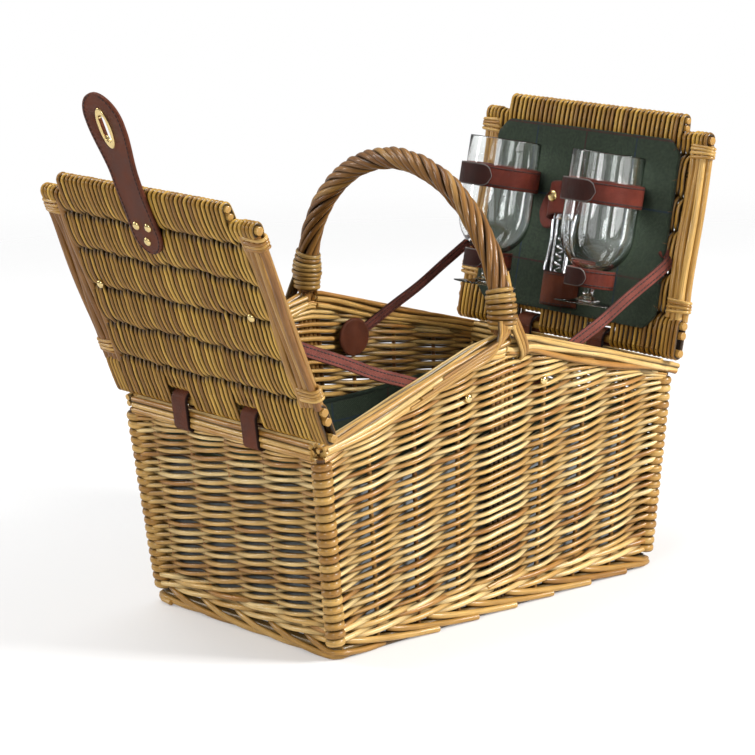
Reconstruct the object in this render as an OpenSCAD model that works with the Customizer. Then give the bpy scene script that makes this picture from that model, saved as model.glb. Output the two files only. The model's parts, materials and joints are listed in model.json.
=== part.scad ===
// Two-lid picnic basket in woven willow: a flared body with gabled long walls, a roped hoop
// handle across the middle, a lid hinged on leather loops at each short end, leather stays,
// a turn-lock closure, a cloth liner, and two wine glasses and a corkscrew held in one lid.
// Frame: X along the length, Y across the width (-Y is the front), Z up from the floor.

/* [Body] */
// Length over the end walls at the floor
body_len = 380; // [330:1:440]
// Width over the long walls at the floor
body_wid = 243; // [226:1:280]
// Height of the pivot line of the lids
hinge_h = 200.5; // [180:0.5:230]
// Outward lean of the end walls, degrees
end_lean = 5.9; // [3:0.1:8]
// Outward lean of the long walls, degrees
side_lean = 2.8; // [1.5:0.1:4]
// Slope of the long walls' top edges and of the closed lids, degrees
slope = 17; // [12:0.5:20]
// Thickness of the woven walls
wall = 9; // [7:0.5:11]
// Radius of a corner post
post_r = 6; // [4.5:0.5:6]

/* [Foot and base] */
// Height of the foot border
foot_h = 14; // [10:1:18]
// Width of the foot border
foot_w = 18; // [14:1:22]
// Distance that the foot border stands out from the walls
foot_out = 3; // [1:0.5:5]
// Height of the underside of the base above the floor
base_z = 7; // [5:0.5:9]
// Thickness of the base
base_t = 10; // [7:0.5:12]

/* [Rims] */
// Diameter of a rim rod
rim_d = 7; // [5.5:0.5:8]
// Distance that the long rims run past the pivot line
rim_horn = 9; // [4:0.5:12]

/* [Handle] */
// Height of the top of the handle above the floor
handle_top = 399; // [370:1:440]
// Diameter of the roped hoop
rope_d = 20; // [16:0.5:24]
// Diameter of the bow rod inside the rope
bow_d = 8; // [6:0.5:9]
// Diameter of a handle stake
stake_d = 4.6; // [4:0.1:5]
// Thickness of the binding round each foot of the handle
bind_t = 2.8; // [2:0.1:3]
// Length of each foot binding
bind_len = 35; // [25:1:40]
// Diameter of a spur rod
spur_d = 5; // [4:0.5:5]

/* [Lids] */
// Opening of the left lid above the level, measured from the hinge outwards, degrees
left_open = 69; // [60:1:85]
// Opening of the right lid, measured the same way, degrees
right_open = 77; // [60:1:85]
// Thickness of a lid's weave
lid_t = 14; // [13:0.5:16]
// Half of a lid's width
lid_half = 146; // [142:1:152]
// Half of the width of the tongue that passes between the feet of the handle
tongue_half = 113.5; // [95:0.5:114]
// Diameter of the rods across a lid
cross_d = 8.5; // [7:0.5:9]
// Diameter of the two rods across a lid's tongue
tip_d = 6.5; // [5.5:0.5:6.5]
// Diameter of the rods along a lid's sides
edge_d = 7; // [6:0.5:7]
// Distance of the second cross rod from the pivot
rod2_t = 15.7; // [15.7:0.1:17]
// Distance of the third cross rod from the pivot
rod3_t = 24.9; // [24.9:0.1:27]
// Thickness of the cloth-covered board inside a lid
board_t = 4; // [3.5:0.5:5]
// Half of the board's width
board_half = 117; // [105:0.5:117.5]
// Distance from the pivot to the near edge of the board
board_near = 16.5; // [15:0.5:20]
// Distance from the pivot to the far edge of the board
board_far = 190; // [180:0.5:194]
// Cut-off length of the board's corners
board_cut = 13; // [5:1:20]

/* [Leather] */
// Thickness of the stays
stay_t = 2.2; // [1.5:0.1:2.4]
// Width of the stays
stay_w = 11; // [8:0.5:13]
// Distance of the stay rivets from the middle of the basket
stay_x = 45; // [42:1:60]
// Height of the stay rivets on the walls
stay_z = 203; // [195:1:210]
// Distance from the pivot to where a stay reaches its lid
stay_reach = 80; // [70:1:90]
// Distance from the pivot to a stay's rivet in the lid
stay_rivet_t = 111; // [105:1:120]
// Distance of a stay's lid rivet from the middle plane
stay_rivet_y = 102; // [96:1:106]
// Diameter of the round patch over a stay's end
patch_d = 36; // [28:1:40]
// Thickness of the patches
patch_t = 2.5; // [2:0.1:4]
// Distance of the hinge loops from the middle plane
loop_y = 47; // [42:1:60]
// Width of a hinge loop
loop_w = 19; // [14:0.5:22]
// Thickness of a hinge loop
loop_t = 2.2; // [1.6:0.1:2.4]

/* [Closure] */
// Thickness of the closure strap
strap_t = 2.8; // [2:0.1:3.2]
// Width of the closure strap at its waist
strap_w = 34; // [26:1:40]
// Distance from the pivot to the round end of the strap
strap_end_t = 157; // [140:1:165]
// Distance from the lids' meeting line to the middle of the slot
slot_reach = 56; // [45:1:62]
// Width of the flap's round head
head_w = 50; // [44:1:56]
// Length of the brass slot plate
plate_len = 38; // [34:1:42]
// Width of the brass slot plate
plate_w = 16; // [14:0.5:20]
// Thickness of the brass plates
plate_t = 1.2; // [0.8:0.1:1.4]
// Length of the turning bar
bar_len = 20; // [16:0.5:22]
// Width of the turning bar
bar_w = 4.4; // [3.5:0.1:5]

/* [Glasses] */
// Height of a glass
glass_h = 138; // [125:1:145]
// Outer radius at the rim
glass_r = 34; // [30:0.5:34]
// Thickness of the bowl
glass_wall = 1.6; // [1.2:0.1:2.2]
// Length of the stem
stem_len = 24; // [20:1:30]
// Radius of the stem
stem_r = 4; // [3:0.5:5]
// Radius of the foot disc
disc_r = 30; // [26:0.5:32]
// Distance of each glass's axis from the middle plane
glass_y = 67; // [62:0.5:72]
// Distance from the pivot to the foot of a glass
glass_near = 31; // [26:1:36]
// Distance from the foot of a glass to the middle of its bowl strap
bowl_strap_at = 102; // [95:1:108]
// Width of a bowl strap
bowl_strap_w = 21; // [16:1:24]
// Distance from the foot of a glass to the middle of its stem strap
stem_strap_at = 24; // [22:0.5:28]
// Width of a stem strap
stem_strap_w = 17; // [12:1:19]
// Radius inside a stem strap
stem_strap_r = 20; // [16:0.5:22]
// Thickness of the glass straps
cuff_t = 2; // [1.4:0.1:2.6]

/* [Corkscrew] */
// Overall length of the corkscrew
cork_len = 118; // [105:1:125]
// Distance from the pivot to the lower end of the corkscrew
cork_near = 24; // [20:1:30]
// Outer radius of the bell
bell_r = 9.5; // [8:0.5:11]
// Half of the corkscrew's width over its levers
lever_out = 15; // [13:0.5:17]
// Length of the pocket
pocket_len = 32; // [24:1:40]
// Thickness of the pocket and the tab
pocket_t = 1.8; // [1.2:0.1:2.4]
// Distance from the pivot to the middle of the tab
tab_at = 123; // [115:1:126]
// Width of the tab
tab_w = 22; // [16:1:26]

/* [Liner] */
// Height of the liner's top edge above the floor
liner_h = 150; // [120:1:165]
// Thickness of the liner
liner_t = 3; // [2:0.5:4]

/* [Clearances] */
// Gap between pieces that lie against each other
gap = 0.3; // [0.2:0.05:0.5]
// Radial gap of rods, pins and rivets in their holes
fit = 0.05; // [0.03:0.01:0.1]
// Gap between a closed lid and the rims under it
lid_gap = 0.5; // [0.4:0.1:1]

/* [Hidden] */
$fn = 64;

half_len = body_len / 2 - wall / 2;
half_wid = body_wid / 2 - wall / 2;
pivot_x = half_len + hinge_h * tan(end_lean);
lid_r = lid_t / 2;
rod_pitch = rim_d + 0.1;
rim_w = 2 * rim_d + 0.1;
rim_deep = 2 * rim_d + 0.1;
end_top = hinge_h - lid_r - lid_gap;
foot_top = foot_h + 0.2 + wall / 2 * sin(end_lean);
rivet_shaft = 3;
rivet_head = 8;
lock_pin_d = 4;
strap_rivet_deep = 8;

stake_x1 = bow_d / 2 + stake_d / 2 + 0.2;
stake_x2 = stake_x1 + stake_d + 0.2;
foot_gap = stake_x2 + stake_d / 2 + gap;

// Height of the long rims' top line at a distance from the middle.
function rim_top(x) = hinge_h - (lid_r + lid_gap) / cos(slope) + (pivot_x - abs(x)) * tan(slope);
// Height of the woven walls' top edge under the long rims.
function wall_top(x) = rim_top(x) - (rim_deep + 0.2) / cos(slope);
// Length up a leaning wall that reaches a height.
function up_side(z) = z / cos(side_lean);
function up_end(z) = z / cos(end_lean);
function post_x(z) = half_len + z * tan(end_lean);
function post_y(z) = half_wid + z * tan(side_lean);

stay_gap = stay_t + 2 * gap;
stay_n = -rim_w / 2 - gap - stay_t / 2;
patch_n = stay_n - stay_t / 2 - gap;

// The hoop is tangent to the leaning walls at its foot.
hoop_r = (half_wid + (handle_top - rope_d / 2) * tan(side_lean))
    / (cos(side_lean) + tan(side_lean) * (1 + sin(side_lean)));
hoop_z = handle_top - rope_d / 2 - hoop_r;
foot_z = hoop_z - hoop_r * sin(side_lean);
bind_r = rope_d / 2 + bind_t;
// Angle round the hoop that a length along it covers.
function hoop_angle(len) = len / hoop_r * 180 / PI;

// Distances along a lid, from the pivot.
lid_end = (pivot_x - 0.5 - lid_r * sin(slope)) / cos(slope);
step_end = (pivot_x - bind_r - 1.8 - lid_r * sin(slope)) / cos(slope);
step_rod_t = step_end - cross_d / 2 - 1;
tip_rod2_t = lid_end - tip_d / 2 - 1.2;
tip_rod1_t = tip_rod2_t - tip_d - 0.4;
roll_r = lid_r;
slot_r = roll_r + loop_t + 2;
edge_near = rod3_t + cross_d / 2 + gap + 1;
edge_far = step_rod_t - cross_d / 2 - 1.5;
edge_pitch = edge_d + 0.2;
edge_in = lid_half - 3 * edge_pitch - gap;
board_z = -lid_r - gap;
board_face = board_z - board_t;

// The closure, in lid coordinates.
strap_z = lid_r + gap;
flex_t = (pivot_x + strap_z * sin(slope)) / cos(slope);
close_bend = 2 * slope - 2.5;
lock_t = flex_t - slot_reach * cos(2.5);
slot_t = flex_t + slot_reach;
bar_z = strap_z + strap_t + slot_reach * sin(2.5) + plate_t + 1;

// Glasses and corkscrew, in lid coordinates.
cuff_in = glass_r + 0.5;
glass_z = board_face - gap - cuff_in - cuff_t;
cork_z = board_face - gap - pocket_t - gap - bell_r;
cuff_reach = board_face - glass_z;
cork_reach = board_face - cork_z;
collar_z = cork_len - 38;

// ---- helpers ----

// A round rod between two points.
module rod(a, b, d) {
    v = b - a;
    len = norm(v);
    translate(a) rotate([0, acos(v.z / len), atan2(v.y, v.x)]) cylinder(h = len, d = d);
}

// Draws children once on each long wall: X along it, Y up it, Z outwards, zero at mid thickness.
module on_side(side) {
    mirror([0, side > 0 ? 1 : 0, 0])
        translate([0, -half_wid, 0]) rotate([90 + side_lean, 0, 0]) children();
}

// The same on an end wall.
module on_end(side) {
    mirror([side > 0 ? 1 : 0, 0, 0])
        translate([-half_len, 0, 0]) rotate([0, 0, -90]) rotate([90 + end_lean, 0, 0]) children();
}

// A lid at its rest opening: X to the front, Y from the pivot to the free edge, Z outwards.
module on_lid(side) {
    open = side > 0 ? right_open : left_open;
    mirror([side > 0 ? 1 : 0, 0, 0])
        translate([-pivot_x, 0, hinge_h]) rotate([0, open - 180, 0]) rotate([0, 0, -90])
            children();
}

// A flat plate with round ends: a stadium of a given length and width along Y.
module stadium(len, wid) {
    square([wid, len - wid], center = true);
    for (s = [-1, 1]) translate([0, s * (len - wid) / 2]) circle(d = wid);
}

// A rivet along +Z from zero, with a domed head at the far end.
module rivet(len, shaft_d, head_d, head_h) {
    cylinder(h = len, d = shaft_d);
    translate([0, 0, len]) intersection() {
        dome_r = (head_d * head_d / 4 + head_h * head_h) / (2 * head_h);
        translate([0, 0, head_h - dome_r]) sphere(r = dome_r);
        cylinder(h = head_h + 1, d = head_d + 1);
    }
}

// ---- body ----

module foot_border() {
    len = body_len + 2 * foot_out;
    wid = body_wid + 2 * foot_out;
    color("#b98b45") linear_extrude(foot_h) difference() {
        square([len, wid], center = true);
        square([len - 2 * foot_w, wid - 2 * foot_w], center = true);
    }
}

module base_weave() {
    w = body_len + 2 * foot_out - 2 * foot_w - 0.4;
    d = body_wid + 2 * foot_out - 2 * foot_w - 0.4;
    color("#a87b3c") translate([-w / 2, -d / 2, base_z]) cube([w, d, base_t]);
}

// Half of a gabled long wall, from the handle's foot to the corner post.
module wall_side_half(side, dir) {
    z0 = foot_top;
    z1 = wall_top(pivot_x);
    x0 = post_x(z0) - post_r - gap;
    x1 = post_x(z1) - post_r - gap;
    color("#c89a52") on_side(side) mirror([dir < 0 ? 1 : 0, 0, 0]) difference() {
        translate([0, 0, -wall / 2]) linear_extrude(wall)
            polygon([[foot_gap, up_side(z0)], [x0, up_side(z0)], [x1, up_side(z1)],
                [foot_gap, up_side(wall_top(foot_gap))]]);
        translate([stay_x, up_side(stay_z), -wall]) cylinder(h = 2 * wall, d = rivet_shaft + 2 * fit);
    }
}

module wall_front_left() { wall_side_half(-1, -1); }
module wall_front_right() { wall_side_half(-1, 1); }
module wall_back_left() { wall_side_half(1, -1); }
module wall_back_right() { wall_side_half(1, 1); }

// An end wall, notched at its top edge for the hinge loops.
module wall_end(side) {
    z0 = foot_top;
    z1 = end_top - rim_deep - 0.2;
    y0 = post_y(z0) - rim_w / 2 - gap;
    y1 = post_y(z1) - rim_w / 2 - gap;
    notch = loop_t + 2 * gap + 1;
    color("#b58a44") on_end(side) difference() {
        translate([0, 0, -wall / 2]) linear_extrude(wall)
            polygon([[-y0, up_end(z0)], [y0, up_end(z0)], [y1, up_end(z1)], [-y1, up_end(z1)]]);
        for (s = [-1, 1]) translate([s * loop_y - loop_w / 2 - gap, up_end(z1) - notch, -wall])
            cube([loop_w + 2 * gap, notch + 1, 2 * wall]);
    }
}

module wall_left_end() { wall_end(-1); }
module wall_right_end() { wall_end(1); }

module corner_posts() {
    z0 = foot_h + 0.8;
    z1 = wall_top(pivot_x + post_r) - 1;
    color("#c08f48") for (sx = [-1, 1], sy = [-1, 1])
        rod([sx * post_x(z0), sy * post_y(z0), z0], [sx * post_x(z1), sy * post_y(z1), z1], 2 * post_r);
}

// A gabled rim: four rods down each slope from the handle's foot to past the corner.
module rim_side(side) {
    tilt = atan(tan(slope) * cos(side_lean));
    color("#d3a860") on_side(side) for (dir = [-1, 1], row = [0, 1], face = [-1, 1]) {
        drop = (rim_d / 2 + row * rod_pitch) / cos(slope);
        x0 = foot_gap + rim_d * sin(tilt);
        x1 = pivot_x + rim_horn;
        rod([dir * x0, up_side(rim_top(x0) - drop), face * rod_pitch / 2],
            [dir * x1, up_side(rim_top(x1) - drop), face * rod_pitch / 2], rim_d);
    }
}

module rim_front() { rim_side(-1); }
module rim_back() { rim_side(1); }

module rim_end(side) {
    y = post_y(end_top - rim_deep) - rim_w / 2 - gap;
    color("#cfa25a") on_end(side) for (row = [0, 1], face = [-1, 1]) {
        s = up_end(end_top) - rim_d / 2 - row * rod_pitch;
        rod([-y, s, face * rod_pitch / 2], [y, s, face * rod_pitch / 2], rim_d);
    }
}

module rim_left_end() { rim_end(-1); }
module rim_right_end() { rim_end(1); }

// Turns a cross-section drawn at the hoop's radius round the hoop, between two angles from -Y.
module along_hoop(from, to) {
    translate([0, 0, hoop_z]) rotate([0, -90, 0]) rotate([0, 0, -90 + from])
        rotate_extrude(angle = to - from, $fn = 128) translate([hoop_r, 0]) children();
}

module handle_bow() {
    color("#a5763a") {
        along_hoop(-side_lean, 180 + side_lean) circle(d = bow_d);
        for (s = [-1, 1])
            rod([0, s * post_y(foot_h + 0.4), foot_h + 0.4], [0, s * post_y(foot_z), foot_z], bow_d);
    }
}

module handle_rope() {
    color("#bf8f45") along_hoop(-side_lean + hoop_angle(1), 180 + side_lean - hoop_angle(1))
        difference() { circle(d = rope_d); circle(d = bow_d + 2 * fit); }
}

module handle_stakes() {
    top = foot_z - 1.5;
    color("#c79a55") for (s = [-1, 1], x = [-stake_x2, -stake_x1, stake_x1, stake_x2])
        rod([x, s * post_y(foot_h + 0.4), foot_h + 0.4], [x, s * post_y(top), top], stake_d);
}

module handle_bindings() {
    from = -side_lean + hoop_angle(3);
    color("#d8b470") for (a = [from, 180 - from - hoop_angle(bind_len)])
        along_hoop(a, a + hoop_angle(bind_len))
            difference() { circle(r = bind_r); circle(r = rope_d / 2 + fit); }
}

// Pairs of short rods that splay from each foot of the hoop over the rims.
module handle_spurs() {
    n = rim_w / 2 + spur_d / 2 + gap;
    color("#cda25c") for (side = [-1, 1]) on_side(side) for (dir = [-1, 1], k = [0, 1])
        rod([dir * (3.2 + 6.2 * k), up_side(foot_z - 0.5), n],
            [dir * (18 + 9 * k), up_side(foot_z - 30 + 3 * k), n], spur_d);
}

// The cloth liner: a floor and four leaning sides that follow the walls.
module liner_side(z_from, z_to, x_at) {
    translate([0, 0, -wall / 2 - gap - liner_t]) linear_extrude(liner_t)
        polygon([[-x_at[0], z_from], [x_at[0], z_from], [x_at[1], z_to], [-x_at[1], z_to]]);
}

module liner() {
    z0 = base_z + base_t + gap;
    inset = wall / 2 + gap + 0.05;
    ex = [for (z = [z0, liner_h]) post_x(z) - inset / cos(end_lean)];
    ey = [for (z = [z0, liner_h]) post_y(z) - inset / cos(side_lean)];
    color("#31402f") {
        for (side = [-1, 1]) {
            on_side(side) liner_side(up_side(z0), up_side(liner_h), ex);
            on_end(side) liner_side(up_end(z0), up_end(liner_h), ey);
        }
        translate([-ex[0], -ey[0], z0]) cube([2 * ex[0], 2 * ey[0], liner_t]);
    }
}

// ---- stays ----

module stay_patches() {
    color("#6b3020") for (side = [-1, 1], dir = [-1, 1]) on_side(side)
        translate([dir * stay_x, up_side(stay_z), patch_n - patch_t]) difference() {
            cylinder(h = patch_t, d = patch_d);
            translate([0, 0, 0.8]) cylinder(h = patch_t, d = rivet_shaft + 2 * fit);
        }
}

module stay_wall_rivets() {
    len = wall / 2 - patch_n + gap + patch_t - 1;
    color("#c9a13b") for (side = [-1, 1], dir = [-1, 1]) on_side(side)
        translate([dir * stay_x, up_side(stay_z), wall / 2 + gap - len])
            rivet(len, rivet_shaft, rivet_head, 2.6);
}

// Where a stay reaches the inner face of its lid, as a distance from the middle and a height.
function lid_open(side) = side > 0 ? right_open : left_open;
function reach_x(side) = pivot_x + stay_reach * cos(lid_open(side)) - (lid_r + stay_t) * sin(lid_open(side));
function reach_z(side) = hinge_h + stay_reach * sin(lid_open(side)) + (lid_r + stay_t) * cos(lid_open(side));

// A stay: a round end on the wall rivet, a taut band up to the lid, and a flat tab under the
// board to the lid rivet.
module stay(lid, side) {
    x1 = reach_x(lid);
    z1 = up_side(reach_z(lid));
    z0 = up_side(stay_z);
    turn = atan2(z1 - z0, x1 - stay_x);
    len = norm([x1 - stay_x, z1 - z0]);
    color("#7a3a2a") {
        on_side(side) mirror([lid < 0 ? 1 : 0, 0, 0])
            translate([stay_x, z0, stay_n]) rotate([0, 0, turn]) difference() {
                union() {
                    cylinder(h = stay_t, d = stay_w + 4, center = true);
                    translate([0, -stay_w / 2, -stay_t / 2]) cube([len - 1, stay_w, stay_t]);
                }
                cylinder(h = 2 * stay_t, d = rivet_shaft + 1, center = true);
            }
        on_lid(lid) mirror([side > 0 ? 1 : 0, 0, 0]) stay_tab(lid);
    }
}

// The part of a stay that lies on the lid, between its edge and its rivet.
module stay_tab(lid) {
    from = [stay_edge_y(lid), stay_reach];
    v = [stay_rivet_y, stay_rivet_t] - from;
    translate([from.x, from.y, -lid_r - gap - stay_t]) rotate([0, 0, atan2(v.y, v.x)])
        difference() {
            union() {
                translate([-1, -stay_w / 2, 0]) cube([norm(v) + 1, stay_w, stay_t]);
                translate([norm(v), 0, 0]) cylinder(h = stay_t, d = stay_w);
            }
            translate([norm(v), 0, -1]) cylinder(h = stay_t + 2, d = rivet_shaft + 2 * fit);
        }
}

function stay_edge_y(lid) = post_y(reach_z(lid)) + stay_n / cos(side_lean);

module left_stay_front() { stay(-1, -1); }
module left_stay_back() { stay(-1, 1); }
module right_stay_front() { stay(1, -1); }
module right_stay_back() { stay(1, 1); }

module stay_lid_rivets(lid) {
    len = lid_t + stay_gap;
    color("#c9a13b") on_lid(lid) for (s = [-1, 1])
        translate([s * stay_rivet_y, stay_rivet_t, lid_r + gap - len])
            rivet(len, rivet_shaft, rivet_head, 2.6);
}

module left_stay_rivets() { stay_lid_rivets(-1); }
module right_stay_rivets() { stay_lid_rivets(1); }

// ---- hinges ----

// Leather loops round the lid's first rod and the end rim, through a notch under the rim.
module hinge_loops(side) {
    in_r = lid_r + gap;
    low = hinge_h - end_top + rim_deep / cos(end_lean) + gap + 0.6;
    color("#5e2a1e") mirror([side > 0 ? 1 : 0, 0, 0])
        for (s = [-1, 1]) translate([-pivot_x, s * loop_y, hinge_h]) rotate([0, -end_lean, 0])
            rotate([90, 0, 0]) linear_extrude(loop_w, center = true) difference() {
                union() {
                    circle(r = in_r + loop_t);
                    translate([-in_r - loop_t, -low - loop_t]) square([2 * (in_r + loop_t), low + loop_t]);
                }
                circle(r = in_r);
                translate([-in_r, -low]) square([2 * in_r, low]);
            }
}

module left_hinge_loops() { hinge_loops(-1); }
module right_hinge_loops() { hinge_loops(1); }

// ---- lids ----

cross_ts = [0, rod2_t, rod3_t, step_rod_t, tip_rod1_t, tip_rod2_t];
cross_halves = [lid_half, lid_half, lid_half, lid_half, tongue_half, tongue_half];
cross_ds = [cross_d, cross_d, cross_d, cross_d, tip_d, tip_d];

module lid_outline() {
    polygon([[-lid_half, 0], [lid_half, 0], [lid_half, edge_near - gap], [edge_in, edge_near - gap],
        [edge_in, edge_far + gap], [lid_half, edge_far + gap], [lid_half, step_end],
        [tongue_half, step_end], [tongue_half, lid_end], [-tongue_half, lid_end],
        [-tongue_half, step_end], [-lid_half, step_end], [-lid_half, edge_far + gap],
        [-edge_in, edge_far + gap], [-edge_in, edge_near - gap], [-lid_half, edge_near - gap]]);
}

module lid_weave(side) {
    color("#b58a44") on_lid(side) difference() {
        union() {
            translate([0, 0, -lid_r]) linear_extrude(lid_t) lid_outline();
            rod([-lid_half, 0, 0], [lid_half, 0, 0], 2 * roll_r);
        }
        for (k = [0:5])
            rod([-lid_half - 1, cross_ts[k], 0], [lid_half + 1, cross_ts[k], 0], cross_ds[k] + 2 * fit);
        for (s = [-1, 1]) {
            translate([s * loop_y, 0, 0]) rotate([0, 90, 0]) difference() {
                cylinder(h = loop_w + 2, r = slot_r, center = true);
                cylinder(h = loop_w + 4, r = roll_r, center = true);
            }
            translate([s * stay_rivet_y, stay_rivet_t, -lid_t]) cylinder(h = 2 * lid_t, d = rivet_shaft + 2 * fit);
        }
        if (side < 0) closure_rivet_spots() translate([0, 0, -2]) cylinder(h = 30, d = rivet_shaft + 2 * fit);
        if (side > 0) translate([0, lock_t, 0]) cylinder(h = 30, d = lock_pin_d + 2 * fit);
    }
}

module lid_cross_rods(side) {
    color("#c9a765") on_lid(side) for (k = [0:5])
        rod([-cross_halves[k], cross_ts[k], 0], [cross_halves[k], cross_ts[k], 0], cross_ds[k]);
}

module lid_side_rods(side) {
    color("#c4974d") on_lid(side) for (s = [-1, 1], k = [0:2]) {
        x = s * (lid_half - edge_pitch / 2 - k * edge_pitch);
        rod([x, edge_near, 0], [x, edge_far, 0], edge_d);
    }
}

// Willow bindings that hold the three side rods together near each end.
module lid_bindings(side) {
    x = lid_half - 1.5 * edge_pitch;
    color("#e0c17c") on_lid(side) for (s = [-1, 1], t = [edge_near + 12, edge_far - 12])
        translate([s * x, t, 0]) rotate([90, 0, 0]) difference() {
            linear_extrude(12, center = true) square([3 * edge_pitch - 0.3, edge_d + 5], center = true);
            for (k = [-1:1]) translate([k * edge_pitch, 0, 0])
                cylinder(h = 14, d = edge_d + 2 * fit, center = true);
        }
}

// The board inside a lid, with pockets in its back for the stays' tabs.
module lid_board(side) {
    h = board_half;
    c = board_cut;
    color("#2f3f2d") on_lid(side) difference() {
        translate([0, 0, board_face]) linear_extrude(board_t)
            polygon([[-h + c, board_near], [h - c, board_near], [h, board_near + c], [h, board_far - c],
                [h - c, board_far], [-h + c, board_far], [-h, board_far - c], [-h, board_near + c]]);
        for (s = [0, 1]) mirror([s, 0, 0]) {
            from = [stay_edge_y(side), stay_reach];
            v = [stay_rivet_y, stay_rivet_t] - from;
            deep = stay_t + gap;
            translate([from.x, from.y, board_z - deep]) rotate([0, 0, atan2(v.y, v.x)]) {
                translate([-20, -stay_w / 2 - gap, 0]) cube([norm(v) + 20, stay_w + 2 * gap, deep + 1]);
                translate([norm(v), 0, 0]) cylinder(h = deep + 1, d = stay_w + 2 * gap);
            }
        }
    }
}

module left_lid_weave() { lid_weave(-1); }
module left_lid_cross_rods() { lid_cross_rods(-1); }
module left_lid_side_rods() { lid_side_rods(-1); }
module left_lid_bindings() { lid_bindings(-1); }
module left_lid_board() { lid_board(-1); }
module right_lid_weave() { lid_weave(1); }
module right_lid_cross_rods() { lid_cross_rods(1); }
module right_lid_side_rods() { lid_side_rods(1); }
module right_lid_bindings() { lid_bindings(1); }
module right_lid_board() { lid_board(1); }

// ---- closure ----

module closure_rivet_spots() {
    for (p = [[-8, strap_end_t + 26], [8, strap_end_t + 26], [0, strap_end_t + 12]])
        translate([p.x, p.y, 0]) children();
}

// The part of the strap that lies on the lid, from its round end to the lid's free edge.
module closure_strap() {
    color("#6a2d1f") on_lid(-1) translate([0, 0, strap_z]) difference() {
        linear_extrude(strap_t) {
            translate([0, strap_end_t + strap_w / 2]) circle(d = strap_w);
            translate([-strap_w / 2, strap_end_t + strap_w / 2])
                square([strap_w, flex_t - gap - strap_end_t - strap_w / 2]);
        }
        closure_rivet_spots() translate([0, 0, -1]) cylinder(h = 10, d = rivet_shaft + 2 * fit);
    }
}

module closure_rivets() {
    len = strap_rivet_deep + strap_t + 2 * gap;
    color("#c9a13b") on_lid(-1) closure_rivet_spots()
        translate([0, 0, strap_z + strap_t + gap - len]) rivet(len, rivet_shaft, rivet_head, 2.4);
}

// The flap that folds over the other lid, with the slot cut through it.
module closure_flap() {
    color("#6a2d1f") on_lid(-1) translate([0, 0, strap_z]) linear_extrude(strap_t) difference() {
        union() {
            translate([-strap_w / 2, flex_t + gap]) square([strap_w, slot_reach]);
            translate([0, slot_t]) circle(d = head_w);
            translate([-head_w / 2, slot_t]) square([head_w, head_w / 8]);
            translate([0, slot_t + head_w / 8]) circle(d = head_w);
        }
        translate([0, slot_t]) stadium(bar_len + 5, bar_w + 4);
    }
}

module closure_slot_plate() {
    color("#cda63f") on_lid(-1) translate([0, slot_t, strap_z + strap_t + 0.05])
        linear_extrude(plate_t) difference() {
            stadium(plate_len, plate_w);
            stadium(bar_len + 3, bar_w + 2.4);
        }
}

module turnlock_base() {
    color("#cda63f") on_lid(1) translate([0, lock_t, 0]) difference() {
        union() {
            translate([0, 0, lid_r + 0.05]) linear_extrude(plate_t - 0.3) stadium(plate_len - 6, plate_w);
            cylinder(h = lid_r + 0.2, d = lock_pin_d);
        }
        translate([0, 0, 2]) cylinder(h = 20, d = lock_pin_d - 1.4 + 2 * fit);
    }
}

// The bar on its stem: it turns a quarter turn over the slot plate.
module turnlock_bar() {
    color("#d9b44a") on_lid(1) translate([0, lock_t, 0]) {
        translate([0, 0, 2.5]) cylinder(h = bar_z - 2, d = lock_pin_d - 1.4);
        translate([0, 0, bar_z]) linear_extrude(3) stadium(bar_len, bar_w);
    }
}

// ---- glasses ----

// Draws children on the right lid at a glass, with Z along the glass from its foot.
module at_glass(side) {
    on_lid(1) translate([-side * glass_y, glass_near, glass_z]) rotate([-90, 0, 0]) children();
}

module glass(side) {
    bowl_base = 5 + stem_len;
    round_h = glass_r * 1.05;
    color("#dfeef0", 0.4) at_glass(side) rotate_extrude($fn = 96) {
        difference() {
            union() {
                translate([0, bowl_base + round_h]) intersection() {
                    circle(r = round_h);
                    translate([0, -2 * round_h]) square([glass_r, 2 * round_h]);
                }
                translate([0, bowl_base + round_h]) square([glass_r, glass_h - bowl_base - round_h]);
            }
            translate([0, bowl_base + round_h]) intersection() {
                circle(r = round_h - 2 * glass_wall);
                translate([0, -2 * round_h]) square([glass_r - glass_wall, 2 * round_h]);
            }
            translate([0, bowl_base + round_h - 0.01]) square([glass_r - glass_wall, glass_h]);
        }
        square([stem_r, bowl_base + 1]);
        polygon([[0, 0], [disc_r, 0], [disc_r, 1.6], [stem_r + 2, 3.6], [stem_r, 7], [0, 7]]);
    }
}

module glass_front() { glass(-1); }
module glass_back() { glass(1); }

// A leather cuff round a glass: a ring of a given inner radius, sewn down flat on the board.
module cuff(side, at, wid, r) {
    color("#6f2f22") at_glass(side) translate([0, 0, at - wid / 2]) linear_extrude(wid) {
        difference() {
            union() {
                circle(r = r + cuff_t, $fn = 96);
                translate([-r - cuff_t, -cuff_reach + gap]) square([2 * (r + cuff_t), cuff_reach - gap]);
            }
            circle(r = r, $fn = 96);
            translate([-r, -cuff_reach + gap + cuff_t]) square([2 * r, cuff_reach - gap - cuff_t]);
        }
    }
}

module bowl_strap_front() { cuff(-1, bowl_strap_at, bowl_strap_w, cuff_in); }
module bowl_strap_back() { cuff(1, bowl_strap_at, bowl_strap_w, cuff_in); }
module stem_strap_front() { cuff(-1, stem_strap_at, stem_strap_w, stem_strap_r); }
module stem_strap_back() { cuff(1, stem_strap_at, stem_strap_w, stem_strap_r); }

// ---- corkscrew ----

// Draws children at the corkscrew: X across, Z up it from its lower end, Y off the board.
module at_cork() {
    on_lid(1) translate([0, cork_near, cork_z]) rotate([-90, 0, 0]) children();
}

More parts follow.
